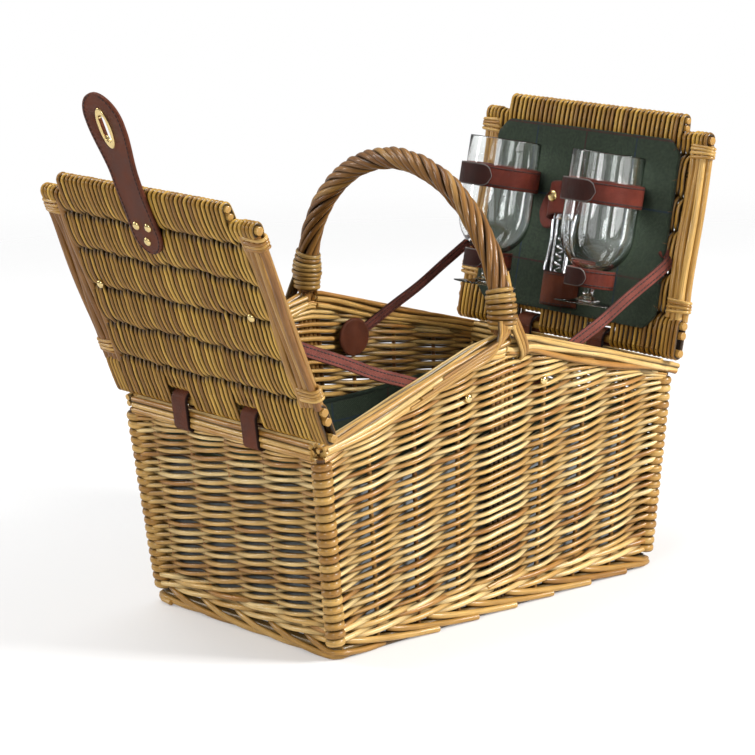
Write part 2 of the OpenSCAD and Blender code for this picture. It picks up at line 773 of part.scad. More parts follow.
module corkscrew_frame() {
    color("#c8ccd0") at_cork() {
        difference() {
            cylinder(h = 24, r = bell_r);
            translate([0, 0, -1]) cylinder(h = 26, r = bell_r - 1.6);
        }
        for (s = [-1, 1]) translate([s * (bell_r - 1.6) - 1.6, -2.5, 23.5]) cube([3.2, 5, collar_z - 23]);
        translate([0, 0, collar_z]) difference() {
            cylinder(h = 10, r = bell_r);
            translate([0, 0, -1]) cylinder(h = 12, d = 6 + 2 * fit);
        }
    }
}

// The rack shaft with its ring head above and the worm below.
module corkscrew_worm() {
    top = cork_len - 6;
    color("#b9bdc2") at_cork() {
        translate([0, 0, collar_z - 8]) cylinder(h = cork_len - 14 - collar_z, d = 6);
        translate([0, 0, 28]) cylinder(h = collar_z - 35, d = 2.4);
        for (k = [0:4]) translate([0, 0, 32 + 7 * k])
            rotate_extrude($fn = 48) translate([2.2, 0]) circle(d = 2.2, $fn = 24);
        translate([0, 0, top - 6]) rotate([90, 0, 0]) difference() {
            cylinder(h = 4, r = 12, center = true);
            cylinder(h = 6, r = 7, center = true);
        }
    }
}

module corkscrew_levers() {
    color("#d4d7da") at_cork() for (s = [-1, 1])
        translate([s * (lever_out - 1.5) - 1.5, -4, 30]) cube([3, 8, collar_z - 24]);
}

// The pocket for the bell: a tube sewn to the board by wide flanges.
module corkscrew_pocket() {
    in_half = bell_r + gap;
    out_half = in_half + pocket_t;
    color("#5a261b") at_cork() translate([0, 0, -2]) linear_extrude(pocket_len) difference() {
        union() {
            translate([-out_half, -cork_reach + gap]) square([2 * out_half, cork_reach - gap + out_half]);
            translate([-out_half - 8, -cork_reach + gap]) square([2 * out_half + 16, pocket_t]);
        }
        translate([-in_half, -in_half]) square(2 * in_half);
    }
}

// The tab that bridges the head of the corkscrew.
module corkscrew_tab() {
    in_half = lever_out + 0.8;
    in_top = bell_r + 0.5;
    color("#4f2218") at_cork() translate([0, 0, tab_at - cork_near])
        linear_extrude(tab_w, center = true) difference() {
            translate([-in_half - pocket_t, -cork_reach + gap])
                square([2 * (in_half + pocket_t), cork_reach - gap + in_top + pocket_t]);
            translate([-in_half, -cork_reach]) square([2 * in_half, cork_reach + in_top]);
        }
}

module corkscrew_stud() {
    color("#cda63f") at_cork()
        translate([-8, bell_r + 0.5 + pocket_t + 0.05, tab_at - cork_near])
            rotate([-90, 0, 0]) cylinder(h = 2, d = 10);
}

foot_border();
base_weave();
wall_front_left();
wall_front_right();
wall_back_left();
wall_back_right();
wall_left_end();
wall_right_end();
corner_posts();
rim_front();
rim_back();
rim_left_end();
rim_right_end();
handle_bow();
handle_rope();
handle_stakes();
handle_bindings();
handle_spurs();
liner();
stay_patches();
stay_wall_rivets();
left_hinge_loops();
right_hinge_loops();
left_lid_weave();
left_lid_cross_rods();
left_lid_side_rods();
left_lid_bindings();
left_lid_board();
left_stay_front();
left_stay_back();
left_stay_rivets();
closure_strap();
closure_rivets();
closure_flap();
closure_slot_plate();
right_lid_weave();
right_lid_cross_rods();
right_lid_side_rods();
right_lid_bindings();
right_lid_board();
right_stay_front();
right_stay_back();
right_stay_rivets();
turnlock_base();
turnlock_bar();
glass_front();
glass_back();
bowl_strap_front();
bowl_strap_back();
stem_strap_front();
stem_strap_back();
corkscrew_frame();
corkscrew_worm();
corkscrew_levers();
corkscrew_pocket();
corkscrew_tab();
corkscrew_stud();
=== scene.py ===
"""A wicker picnic basket with two lids on leather hinges, built round its CAD frame.

Every length in the classes is in millimetres in the row frame (+X along the basket, -Y the front,
+Z up) and is turned into metres when a mesh is made.
"""

import json
import logging
import math
from collections.abc import Callable, Sequence
from dataclasses import dataclass, field
from enum import Enum

import bpy
import numpy as np
from mathutils import Matrix, Vector

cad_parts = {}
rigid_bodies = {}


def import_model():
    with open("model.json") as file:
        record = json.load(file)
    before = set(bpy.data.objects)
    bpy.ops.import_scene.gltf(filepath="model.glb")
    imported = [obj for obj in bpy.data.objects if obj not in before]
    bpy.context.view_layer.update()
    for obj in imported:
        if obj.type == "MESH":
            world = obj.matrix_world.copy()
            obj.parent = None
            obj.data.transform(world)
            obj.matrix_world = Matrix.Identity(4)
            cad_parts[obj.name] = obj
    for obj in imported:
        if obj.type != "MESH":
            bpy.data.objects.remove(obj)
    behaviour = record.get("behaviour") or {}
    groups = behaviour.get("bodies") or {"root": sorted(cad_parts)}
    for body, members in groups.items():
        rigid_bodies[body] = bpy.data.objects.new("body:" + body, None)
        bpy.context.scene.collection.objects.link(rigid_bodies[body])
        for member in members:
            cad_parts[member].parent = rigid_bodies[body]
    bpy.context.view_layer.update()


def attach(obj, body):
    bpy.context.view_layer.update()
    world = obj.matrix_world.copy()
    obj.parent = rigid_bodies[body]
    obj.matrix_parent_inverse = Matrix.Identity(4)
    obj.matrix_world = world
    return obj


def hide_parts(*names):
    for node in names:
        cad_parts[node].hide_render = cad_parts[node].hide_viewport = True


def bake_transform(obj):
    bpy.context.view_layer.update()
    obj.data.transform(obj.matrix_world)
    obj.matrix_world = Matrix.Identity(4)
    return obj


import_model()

log = logging.getLogger("picnic_basket")

MM = 0.001
Array = np.ndarray
Colour = tuple[float, float, float]
Triple = tuple[float, float, float]


class Worded(Enum):
    """A choice whose name is used in piece names."""

    @property
    def word(self) -> str:
        """The name in small letters."""
        return self.name.lower()


class Side(Worded):
    """Which end of the basket a lid is hinged on."""

    LEFT = -1
    RIGHT = 1


class Face(Worded):
    """Which long side of the basket a piece is on."""

    FRONT = -1
    BACK = 1


# ---------------------------------------------------------------- geometry


def unit(vectors: Array) -> Array:
    """Scales vectors to length one.

    Args:
        vectors: An array whose last axis holds X, Y and Z.

    Returns:
        The same array with each vector's length made one.
    """
    return vectors / np.maximum(np.linalg.norm(vectors, axis=-1, keepdims=True), 1e-9)


def curve(knots: Sequence[Sequence[float]] | Array, count: int) -> Array:
    """Samples a smooth curve through knots.

    Args:
        knots: Two or more points that the curve passes through.
        count: How many points to return.

    Returns:
        An array of count points.
    """
    k = np.asarray(knots, float)
    p = np.vstack([2 * k[0] - k[1], k, 2 * k[-1] - k[-2]])
    u = np.linspace(0, len(k) - 1, count)
    i = np.minimum(u.astype(int), len(k) - 2)
    t = (u - i)[:, None]
    a, b, c, d = p[i], p[i + 1], p[i + 2], p[i + 3]
    return 0.5 * (2 * b + (c - a) * t + (2 * a - 5 * b + 4 * c - d) * t**2 + (3 * b - a - 3 * c + d) * t**3)


def smooth(x: Array | float, low: float, high: float) -> Array | float:
    """Rises smoothly from 0 at low to 1 at high."""
    t = np.clip((np.asarray(x, float) - low) / (high - low), 0, 1)
    return t * t * (3 - 2 * t)


def run_along(path: Array) -> Array:
    """The distance along a path at each of its points, from 0 at its start."""
    return np.concatenate([[0], np.cumsum(np.linalg.norm(np.diff(path, axis=0), axis=1))])


def xyz(x: Array | float, y: Array | float, z: Array | float) -> Array:
    """Joins coordinates, each an array or one number for all, into points."""
    return np.stack(np.broadcast_arrays(x, y, z), axis=-1)


def opposite(direction: Triple) -> Triple:
    """The direction the other way."""
    return tuple(-v for v in direction)


@dataclass(frozen=True)
class Place:
    """A local frame in millimetres: an origin and three unit axes in the row frame."""

    origin: Triple
    x: Triple
    y: Triple
    z: Triple

    def turn(self, vectors: Sequence[float] | Array) -> Array:
        """Turns local directions into row-frame directions."""
        return np.asarray(vectors, float) @ np.array([self.x, self.y, self.z])

    def at(self, points: Sequence[float] | Array) -> Array:
        """Moves local points into the row frame."""
        return np.array(self.origin) + self.turn(points)

    def metres(self, point: Sequence[float]) -> Triple:
        """A local point in the row frame, in metres."""
        return tuple(float(v) * MM for v in self.at(point))


@dataclass(frozen=True)
class BasketShape:
    """The sizes that every piece is placed by."""

    half_len: float = 185.5
    half_wid: float = 117.0
    end_lean: float = math.radians(5.9)
    side_lean: float = math.radians(2.8)
    hinge_h: float = 200.5
    slope: float = math.radians(17.0)
    lid_r: float = 7.0
    lid_gap: float = 0.5
    left_open: float = math.radians(69.0)
    right_open: float = math.radians(77.0)
    handle_top: float = 399.0
    rope_r: float = 10.0
    foot_h: float = 14.0

    @property
    def pivot_x(self) -> float:
        """Distance of the lids' pivot lines from the middle."""
        return self.half_len + self.hinge_h * math.tan(self.end_lean)

    def post_x(self, z: float | Array) -> float | Array:
        """Distance of the end walls' mid planes from the middle at a height."""
        return self.half_len + z * math.tan(self.end_lean)

    def post_y(self, z: float | Array) -> float | Array:
        """Distance of the long walls' mid planes from the middle at a height."""
        return self.half_wid + z * math.tan(self.side_lean)

    def rim_top(self, x: float | Array) -> float | Array:
        """Height of the long rims' top line at a distance from the middle."""
        drop = (self.lid_r + self.lid_gap) / math.cos(self.slope)
        return self.hinge_h - drop + (self.pivot_x - np.abs(x)) * math.tan(self.slope)

    @property
    def hoop_r(self) -> float:
        """Radius of the handle's arch at the middle of the rope.

        Returns:
            Radius in millimetres.
        """
        lean, rise = self.side_lean, self.handle_top - self.rope_r
        across = self.half_wid + rise * math.tan(lean)
        return across / (math.cos(lean) + math.tan(lean) * (1 + math.sin(lean)))

    @property
    def hoop_z(self) -> float:
        """Height of the arch's centre."""
        return self.handle_top - self.rope_r - self.hoop_r

    def long_wall(self, face: Face) -> Place:
        """A long wall's frame: X to the right seen from outside, Y up the wall, Z outwards."""
        s, c, k = math.sin(self.side_lean), math.cos(self.side_lean), face.value
        return Place((0, k * self.half_wid, 0), (-k, 0, 0), (0, k * s, c), (0, k * c, -s))

    def end_wall(self, side: Side) -> Place:
        """An end wall's frame, drawn the same way."""
        s, c, k = math.sin(self.end_lean), math.cos(self.end_lean), side.value
        return Place((k * self.half_len, 0, 0), (0, k, 0), (k * s, 0, c), (k * c, 0, -s))

    def lid(self, side: Side) -> Place:
        """A lid's frame at rest: X to the front, Y from the pivot to the free edge, Z outwards.

        Args:
            side: The left or the right end.

        Returns:
            The frame.
        """
        turn = math.pi - (self.left_open if side is Side.LEFT else self.right_open)
        s, c, k = math.sin(turn), math.cos(turn), side.value
        return Place((k * self.pivot_x, 0, self.hinge_h), (0, -1, 0), (-k * c, 0, s), (k * s, 0, c))


SHAPE = BasketShape()


@dataclass
class Ring:
    """The line round the basket at the walls' mid planes, followed to the right from outside."""

    shape: BasketShape
    corner: float = 5.0
    stakes: int = 26

    def __post_init__(self) -> None:
        """Works out the straights' and the corners' lengths."""
        a, b, r = self.shape.half_len, self.shape.half_wid, self.corner
        quarter = math.pi * r / 2
        self.lengths = [2 * (a - r), quarter, 2 * (b - r), quarter] * 2
        self.total = sum(self.lengths)
        self.pitch = self.total / self.stakes

    def at(self, along: Array, z: Array, out: Array) -> Array:
        """Finds points by their distance round the ring.

        Args:
            along: Distance round the ring at the floor, from the front left corner.
            z: Height above the floor.
            out: Distance outwards from the walls' mid plane.

        Returns:
            The points in the row frame.
        """
        a, b, r = self.shape.half_len, self.shape.half_wid, self.corner
        starts = [(-a + r, -b), (a, -b + r), (a - r, b), (-a, b - r)]
        headings = [0.0, math.pi / 2, math.pi, 1.5 * math.pi]
        q = np.mod(np.asarray(along, float), self.total)
        x, y, nx, ny = (np.zeros_like(q) for _ in range(4))
        base = 0.0
        for i in range(4):
            run, bend = self.lengths[2 * i], self.lengths[2 * i + 1]
            cos, sin = math.cos(headings[i]), math.sin(headings[i])
            here = (q >= base) & (q < base + run)
            d = q[here] - base
            x[here], y[here] = starts[i][0] + cos * d, starts[i][1] + sin * d
            nx[here], ny[here] = sin, -cos
            base += run
            here = (q >= base) & (q <= base + bend)
            angle = headings[i] - math.pi / 2 + (q[here] - base) / r
            cx, cy = starts[i][0] + cos * run - sin * r, starts[i][1] + sin * run + cos * r
            x[here], y[here] = cx + r * np.cos(angle), cy + r * np.sin(angle)
            nx[here], ny[here] = np.cos(angle), np.sin(angle)
            base += bend
        x = x * self.shape.post_x(z) / a + nx * out
        y = y * self.shape.post_y(z) / b + ny * out
        return xyz(x, y, np.broadcast_to(z, x.shape))


class MeshMaker:
    """Gathers points and faces, with what the finishes read from them, into one mesh."""

    def __init__(self, seed: int = 1) -> None:
        """Starts empty.

        Args:
            seed: Seed of the random draws for this piece.
        """
        self.draw = np.random.default_rng(seed)
        self.points: list[Array] = []
        self.quads: list[Array] = []
        self.tris: list[Array] = []
        self.grain: list[Array] = []
        self.tone: list[Array] = []
        self.count = 0

    def vary(self, low: float, high: float) -> float:
        """Draws a number between two limits."""
        return float(self.draw.uniform(low, high))

    def jitter(self, size: float) -> float:
        """Draws a small offset about 0."""
        return float(self.draw.normal(0, size))

    def put(self, points: Array, grain: Array, tone: Array) -> int:
        """Adds points.

        Args:
            points: The points, in the row frame.
            grain: The finish's own coordinates at each point, in millimetres.
            tone: Colour pick, painted-shade depth and cut-end mask at each point.

        Returns:
            The index of the first of them.
        """
        first = self.count
        self.points.append(points)
        self.grain.append(grain)
        self.tone.append(tone)
        self.count += len(points)
        return first

    def grid(self, first: int, rows: int, columns: int, wrap: bool = False, flip: bool = False) -> None:
        """Adds the quads of a grid of points.

        Args:
            first: Index of the grid's first point.
            rows: Number of rows.
            columns: Number of points in each row.
            wrap: Whether each row closes on itself.
            flip: Whether the faces look the other way.
        """
        span = columns if wrap else columns - 1
        i, k = np.meshgrid(np.arange(rows - 1), np.arange(span), indexing="ij")
        a, b = first + i * columns + k, first + i * columns + (k + 1) % columns
        quads = np.stack([a, a + columns, b + columns, b], axis=-1).reshape(-1, 4)
        self.quads.append(quads[:, ::-1] if flip else quads)

    def rod(
        self,
        path: Array,
        radius: float | Array,
        ref: Sequence[float] | Array,
        sides: int = 8,
        depth: Array | float = 1.0,
        open_to: Array | Sequence[float] | None = None,
        away: Array | float = 1.0,
        flat: float = 1.0,
        caps: tuple[bool, bool] = (True, True),
        shade: float | None = None,
    ) -> None:
        """Adds a round rod along a path.

        Args:
            path: Its centre line, in the row frame.
            radius: Its radius, or one at each point.
            ref: A direction, or one at each point, that the path never runs along.
            sides: Number of sides of its section.
            depth: How much painted shade each point gets, from 0 deep in the weave, darkest, to 1 on a crest,
                unshaded.
            open_to: The direction, or one at each point, that the weave's surface faces there; sides of the
                rod turned from it get painted shade.
            away: How far each point stands out that way, from -1 behind to 1 in front; the parts behind get
                more painted shade.
            flat: The section's size along ref, as a share of its size across.
            caps: Whether the start and the end are closed by a cut face.
            shade: Its place on the finish's range of colours, or None for a random one.
        """
        path = np.asarray(path, float)
        n = len(path)
        r = np.broadcast_to(np.asarray(radius, float), (n,)).copy()
        level = np.broadcast_to(np.asarray(depth, float), (n,))[:, None]
        tangent = unit(np.gradient(path, axis=0))
        side = unit(np.cross(tangent, np.broadcast_to(np.asarray(ref, float), (n, 3))))
        up = np.cross(side, tangent)
        along = run_along(path)
        angle = np.arange(sides) * 2 * math.pi / sides
        ring = (
            np.cos(angle)[None, :, None] * side[:, None]
            + flat * np.sin(angle)[None, :, None] * up[:, None]
        )
        points = path[:, None] + r[:, None, None] * ring
        # Painted shade: sides of the rod that turn from the weave's surface, and the parts that run behind
        # it, are darkened through the depth channel.
        if open_to is not None:
            facing = np.einsum("ijk,ik->ij", ring, np.broadcast_to(np.asarray(open_to, float), (n, 3)))
            stand = np.broadcast_to(np.asarray(away, float), (n,))[:, None]
            level = level * (0.34 + 0.66 * np.abs(facing) ** 1.6) * (
                0.64 + 0.36 * stand * np.clip(2 * facing, -1, 1)
            )
        shade = float(self.draw.random()) if shade is None else shade
        start = float(self.draw.random()) * 900
        grain = np.empty((n, sides, 3))
        grain[..., 0] = (along + start)[:, None]
        grain[..., 1] = r[:, None] * np.cos(angle) + start
        grain[..., 2] = r[:, None] * np.sin(angle)
        tone = np.empty((n, sides, 3))
        tone[..., 0], tone[..., 1], tone[..., 2] = shade, level, 0.0
        first = self.put(points.reshape(-1, 3), grain.reshape(-1, 3), tone.reshape(-1, 3))
        self.grid(first, n, sides, wrap=True)
        k = np.arange(sides)
        for closed, row, way in ((caps[0], 0, -1), (caps[1], n - 1, 1)):
            if not closed:
                continue
            rim = points[row] + way * tangent[row] * min(0.25, r[row] * 0.2)
            rim = path[row] + (rim - path[row]) * 0.9
            middle = path[row] + way * tangent[row] * min(0.3, r[row] * 0.22)
            at = self.put(
                np.vstack([points[row], rim, middle]),
                np.vstack([grain[row], grain[row], [[start, 0, 0]]]),
                np.vstack([np.tile([shade, 1, 0.3], (sides, 1)), np.tile([shade, 1, 1], (sides + 1, 1))]),
            )
            nxt = (k + 1) % sides
            lip = np.stack([at + k, at + nxt, at + sides + nxt, at + sides + k], axis=-1)
            fan = xyz(np.full(sides, at + 2 * sides), at + sides + k, at + sides + nxt)
            self.quads.append(lip[:, ::-1] if way < 0 else lip)
            self.tris.append(fan[:, ::-1] if way < 0 else fan)

    def lathe(
        self,
        place: Place,
        profile: Sequence[Sequence[float]] | Array,
        sides: int = 32,
        shade: float = 0.5,
        oval: float = 1.0,
    ) -> None:
        """Adds a turned shape about a place's Z axis.

        Args:
            place: Where it stands.
            profile: Radius and height, from the bottom up on its outer side.
            sides: Number of sides.
            shade: Its place on the finish's range of colours.
            oval: Size along the place's Y as a share of that along X.
        """
        prof = np.asarray(profile, float)
        angle = np.linspace(0, 2 * math.pi, sides, endpoint=False)
        x = prof[:, 0, None] * np.cos(angle)
        y = prof[:, 0, None] * np.sin(angle) * oval
        z = np.broadcast_to(prof[:, 1, None], x.shape)
        local = xyz(x, y, z).reshape(-1, 3)
        run = run_along(prof)
        grain = np.stack(
            [np.broadcast_to(run[:, None], x.shape), x, y], axis=-1
        ).reshape(-1, 3)
        tone = np.tile([shade, 1.0, 0.0], (len(local), 1))
        first = self.put(place.at(local), grain, tone)
        mirrored = np.linalg.det(np.array([place.x, place.y, place.z])) < 0
        self.grid(first, len(prof), sides, wrap=True, flip=not mirrored)

    def mesh(self, name: str, sharp: float | None = None) -> bpy.types.Object:
        """Makes the object.

        Args:
            name: The piece's name.
            sharp: Angle in degrees past which an edge stays sharp, or None for none.

        Returns:
            The new object, in metres.
        """
        points = np.concatenate(self.points) * MM
        quads = np.concatenate(self.quads) if self.quads else np.zeros((0, 4), int)
        tris = np.concatenate(self.tris) if self.tris else np.zeros((0, 3), int)
        mesh = bpy.data.meshes.new(name)
        mesh.vertices.add(len(points))
        mesh.vertices.foreach_set("co", points.astype(np.float32).ravel())
        loops = np.concatenate([quads.ravel(), tris.ravel()])
        mesh.loops.add(len(loops))
        mesh.loops.foreach_set("vertex_index", loops.astype(np.int32))
        starts = np.concatenate([np.arange(len(quads)) * 4, len(quads) * 4 + np.arange(len(tris)) * 3])
        mesh.polygons.add(len(starts))
        mesh.polygons.foreach_set("loop_start", starts.astype(np.int32))
        mesh.update(calc_edges=True)
        for label, rows in (("grain", self.grain), ("tone", self.tone)):
            data = mesh.attributes.new(label, "FLOAT_VECTOR", "POINT")
            data.data.foreach_set("vector", np.concatenate(rows).astype(np.float32).ravel())
        mesh.validate()
        mesh.shade_smooth()
        if sharp is not None:
            mesh.set_sharp_from_angle(angle=math.radians(sharp))
        piece = bpy.data.objects.new(name, mesh)
        bpy.context.scene.collection.objects.link(piece)
        return piece


# ---------------------------------------------------------------- finishes


class Nodes:
    """Shorthand for building one node tree."""

    def __init__(self, tree: bpy.types.NodeTree) -> None:
        """Takes the tree to build in."""
        self.tree = tree

    def add(self, kind: str, **settings: object) -> bpy.types.Node:
        """Adds a node.

        Args:
            kind: The node's type without its ShaderNode prefix.
            settings: Properties of the node.

        Returns:
            The node.
        """
        node = self.tree.nodes.new(kind if kind.startswith("Node") else "ShaderNode" + kind)
        for key, value in settings.items():
            setattr(node, key, value)
        return node

    def join(self, source: bpy.types.NodeSocket, target: bpy.types.NodeSocket) -> None:
        """Links two sockets."""
        self.tree.links.new(source, target)

    def feed(self, value: object, target: bpy.types.NodeSocket) -> None:
        """Links a socket or sets a constant.

        Args:
            value: A socket or a constant.
            target: The input socket that takes it.
        """
        if isinstance(value, bpy.types.NodeSocket):
            self.join(value, target)
        else:
            target.default_value = value

    def math(self, operation: str, *values: object) -> bpy.types.NodeSocket:
        """Adds a math node and returns its result.

        Args:
            operation: Blender's word for the operation.
            values: Sockets or constants that the node takes, in order.

        Returns:
            The socket with the result.
        """
        node = self.add("Math", operation=operation)
        for value, socket in zip(values, node.inputs):
            self.feed(value, socket)
        return node.outputs[0]

    def vector(self, operation: str, *values: object) -> bpy.types.NodeSocket:
        """Adds a vector math node and returns its vector.

        Args:
            operation: Blender's word for the operation.
            values: Sockets or constants that the node takes, in order.

        Returns:
            The socket with the result.
        """
        node = self.add("VectorMath", operation=operation)
        for value, socket in zip(values, node.inputs):
            self.feed(value, socket)
        return node.outputs[0]

    def ramp(
        self, value: bpy.types.NodeSocket, low: float, high: float, to: tuple[float, float] = (0, 1)
    ) -> bpy.types.NodeSocket:
        """Maps a value from low..high to a new range, smoothly and clamped.

        Args:
            value: A socket or a constant.
            low: Value at the start of the range.
            high: Value at the end of the range.
            to: The new range.

        Returns:
            The socket with the result.
        """
        node = self.add("MapRange", interpolation_type="SMOOTHSTEP")
        for socket, item in zip(node.inputs, (value, low, high, *to)):
            self.feed(item, socket)
        return node.outputs[0]

    def blend(
        self, factor: object, first: object, second: object, mode: str = "MIX"
    ) -> bpy.types.NodeSocket:
        """Mixes two colours.

        Args:
            factor: Share of the second colour.
            first: The first colour.
            second: The second colour.
            mode: Blender's word for the blend.

        Returns:
            The socket with the result.
        """
        node = self.add("Mix", data_type="RGBA", blend_type=mode)
        for value, socket in ((factor, node.inputs[0]), (first, node.inputs[6]), (second, node.inputs[7])):
            if isinstance(value, tuple):
                value = (*value, 1.0)
            self.feed(value, socket)
        return node.outputs[2]

    def shade(self, colour: object, value: bpy.types.NodeSocket) -> bpy.types.NodeSocket:
        """Multiplies a colour by a value.

        Args:
            colour: A colour, as a socket or a constant.
            value: A socket or a constant.

        Returns:
            The socket with the result.
        """
        grey = self.add("CombineColor")
        for socket in grey.inputs[:3]:
            self.join(value, socket)
        return self.blend(1.0, colour, grey.outputs[0], "MULTIPLY")

    def noise(
        self, where: bpy.types.NodeSocket, scale: float, detail: float = 2.0, rough: float = 0.5
    ) -> bpy.types.NodeSocket:
        """Adds a noise and returns its value.

        Args:
            where: Coordinates that the noise reads.
            scale: Scale of the noise.
            detail: Detail of the noise.
            rough: Roughness of the noise.

        Returns:
            The socket with the result.
        """
        node = self.add("TexNoise")
        self.join(where, node.inputs["Vector"])
        node.inputs["Scale"].default_value = scale
        node.inputs["Detail"].default_value = detail
        node.inputs["Roughness"].default_value = rough
        return node.outputs[0]

    def bump(self, height: bpy.types.NodeSocket, distance: float) -> bpy.types.NodeSocket:
        """Adds a bump and returns its normal.

        Args:
            height: Height of the surface, as a socket.
            distance: How far the surface stands out at full height.

        Returns:
            The socket with the result.
        """
        node = self.add("Bump")
        node.inputs["Distance"].default_value = distance
        node.inputs["Strength"].default_value = 1.0
        self.join(height, node.inputs["Height"])
        return node.outputs[0]


class Effect:
    """A shader node group with named inputs and outputs, built once and shared."""

    name: str = "effect"
    inputs: dict[str, float] = {}
    outputs: tuple[str, ...] = ()

    def build(self, nodes: Nodes, given: dict[str, bpy.types.NodeSocket]) -> dict[
        str, bpy.types.NodeSocket
    ]:
        """Builds the inside of the group from its inputs and returns its outputs."""
        raise NotImplementedError

    def tree(self) -> bpy.types.NodeTree:
        """The group's tree, built the first time it is asked for.

        Returns:
            The tree.
        """
        made = bpy.data.node_groups.get(self.name)
        if made:
            return made
        made = bpy.data.node_groups.new(self.name, "ShaderNodeTree")
        for key, value in self.inputs.items():
            socket = made.interface.new_socket(key, in_out="INPUT", socket_type="NodeSocketFloat")
            socket.default_value = value
        for key in self.outputs:
            made.interface.new_socket(key, in_out="OUTPUT", socket_type="NodeSocketFloat")
        nodes = Nodes(made)
        entry, leave = nodes.add("NodeGroupInput"), nodes.add("NodeGroupOutput")
        found = self.build(nodes, {key: entry.outputs[key] for key in self.inputs})
        for key in self.outputs:
            nodes.join(found[key], leave.inputs[key])
        return made

    def place(self, nodes: Nodes, **values: float) -> bpy.types.Node:
        """Places the group in a material with its own values.

        Args:
            nodes: The node maker to build with.

        Returns:
            The placed node.
        """
        node = nodes.add("Group", node_tree=self.tree())
        for key, value in values.items():
            node.inputs[key.replace("_", " ").title()].default_value = value
        return node


class RodGrain(Effect):
    """Streaks along a willow rod, and the small scars of its buds."""

    name = "rod_grain"
    inputs = {"Length": 0.035, "Width": 0.9}
    outputs = ("Streak", "Patch", "Scar")

    def build(self, nodes: Nodes, given: dict[str, bpy.types.NodeSocket]) -> dict[
        str, bpy.types.NodeSocket
    ]:
        """Stretches noises along the rod's own coordinates.

        Args:
            nodes: The node maker to build with.
            given: The group's input sockets, by name.

        Returns:
            The group's results, by name.
        """
        where = nodes.add("Attribute", attribute_name="grain").outputs["Vector"]
        parts = nodes.add("SeparateXYZ")
        nodes.join(where, parts.inputs[0])
        long = nodes.math("MULTIPLY", parts.outputs[0], given["Length"])
        across = nodes.math("MULTIPLY", parts.outputs[1], given["Width"])
        over = nodes.math("MULTIPLY", parts.outputs[2], given["Width"])
        spot = nodes.add("CombineXYZ")
        for value, socket in zip((long, across, over), spot.inputs):
            nodes.join(value, socket)
        streak = nodes.noise(spot.outputs[0], 1.4, 3.0, 0.6)
        patch = nodes.noise(where, 0.045, 1.0)
        cells = nodes.add("TexVoronoi")
        nodes.join(nodes.vector("MULTIPLY", where, (0.09, 0.28, 0.28)), cells.inputs["Vector"])
        cells.inputs["Scale"].default_value = 1.0
        scar = nodes.ramp(cells.outputs["Distance"], 0.04, 0.13, (1, 0))
        return {"Streak": streak, "Patch": patch, "Scar": scar}


class HideGrain(Effect):
    """The pores and the mottling of leather."""

    name = "hide_grain"
    inputs = {"Pores": 1500.0, "Clouds": 70.0}
    outputs = ("Pore", "Cloud")

    def build(self, nodes: Nodes, given: dict[str, bpy.types.NodeSocket]) -> dict[
        str, bpy.types.NodeSocket
    ]:
        """Cells for the pores and a slow noise for the clouds.

        Args:
            nodes: The node maker to build with.
            given: The group's input sockets, by name.

        Returns:
            The group's results, by name.
        """
        where = nodes.add("TexCoord").outputs["Object"]
        cells = nodes.add("TexVoronoi", feature="DISTANCE_TO_EDGE")
        nodes.join(where, cells.inputs["Vector"])
        nodes.join(given["Pores"], cells.inputs["Scale"])
        cloud = nodes.add("TexNoise")
        nodes.join(where, cloud.inputs["Vector"])
        nodes.join(given["Clouds"], cloud.inputs["Scale"])
        cloud.inputs["Detail"].default_value = 4.0
        return {"Pore": nodes.ramp(cells.outputs["Distance"], 0.0, 0.16), "Cloud": cloud.outputs[0]}


class WoolWeave(Effect):
    """The twill of a tweed, its loose fibres and its two windowpane lines."""

    name = "wool_weave"
    inputs = {"Threads": 3.4, "Pane": 64.0, "Line": 0.9}
    outputs = ("Twill", "Fibre", "Blue Line", "Red Line")

    def build(self, nodes: Nodes, given: dict[str, bpy.types.NodeSocket]) -> dict[
        str, bpy.types.NodeSocket
    ]:
        """Reads the cloth's own coordinates in millimetres.

        Args:
            nodes: The node maker to build with.
            given: The group's input sockets, by name.

        Returns:
            The group's results, by name.
        """
        where = nodes.add("Attribute", attribute_name="grain").outputs["Vector"]
        parts = nodes.add("SeparateXYZ")
        nodes.join(where, parts.inputs[0])
        x, y = parts.outputs[0], parts.outputs[1]
        diagonal = nodes.math("MULTIPLY", nodes.math("ADD", x, y), given["Threads"])
        weft = nodes.math("MULTIPLY", y, nodes.math("MULTIPLY", given["Threads"], 2.0))
        twill = nodes.math("MULTIPLY", nodes.math("SINE", diagonal), nodes.math("SINE", weft))
        fibre = nodes.noise(where, 0.5, 4.0, 0.8)
        masks = []
        for offset in (0.0, 0.5):
            found = []
            for axis in (x, y):
                turn = nodes.math(
                    "ADD", nodes.math("DIVIDE", axis, nodes.math("MULTIPLY", given["Pane"], 2.0)), offset
                )
                away = nodes.math(
                    "MULTIPLY", nodes.math("PINGPONG", turn, 0.5),
                    nodes.math("MULTIPLY", given["Pane"], 2.0)
                )
                found.append(nodes.math("LESS_THAN", away, given["Line"]))
            masks.append(nodes.math("MAXIMUM", *found))
        return {
            "Twill": nodes.math("MULTIPLY_ADD", twill, 0.5, 0.5),
            "Fibre": fibre,
            "Blue Line": masks[0],
            "Red Line": masks[1],
        }


def new_material(name: str) -> tuple[bpy.types.Material, Nodes, bpy.types.Node]:
    """Makes a material that holds one Principled BSDF.

    Args:
        name: The material's name.

    Returns:
        The material, its node helper and the shader node.
    """
    material = bpy.data.materials.new(name)
    material.use_nodes = True
    nodes = Nodes(material.node_tree)
    return material, nodes, material.node_tree.nodes["Principled BSDF"]


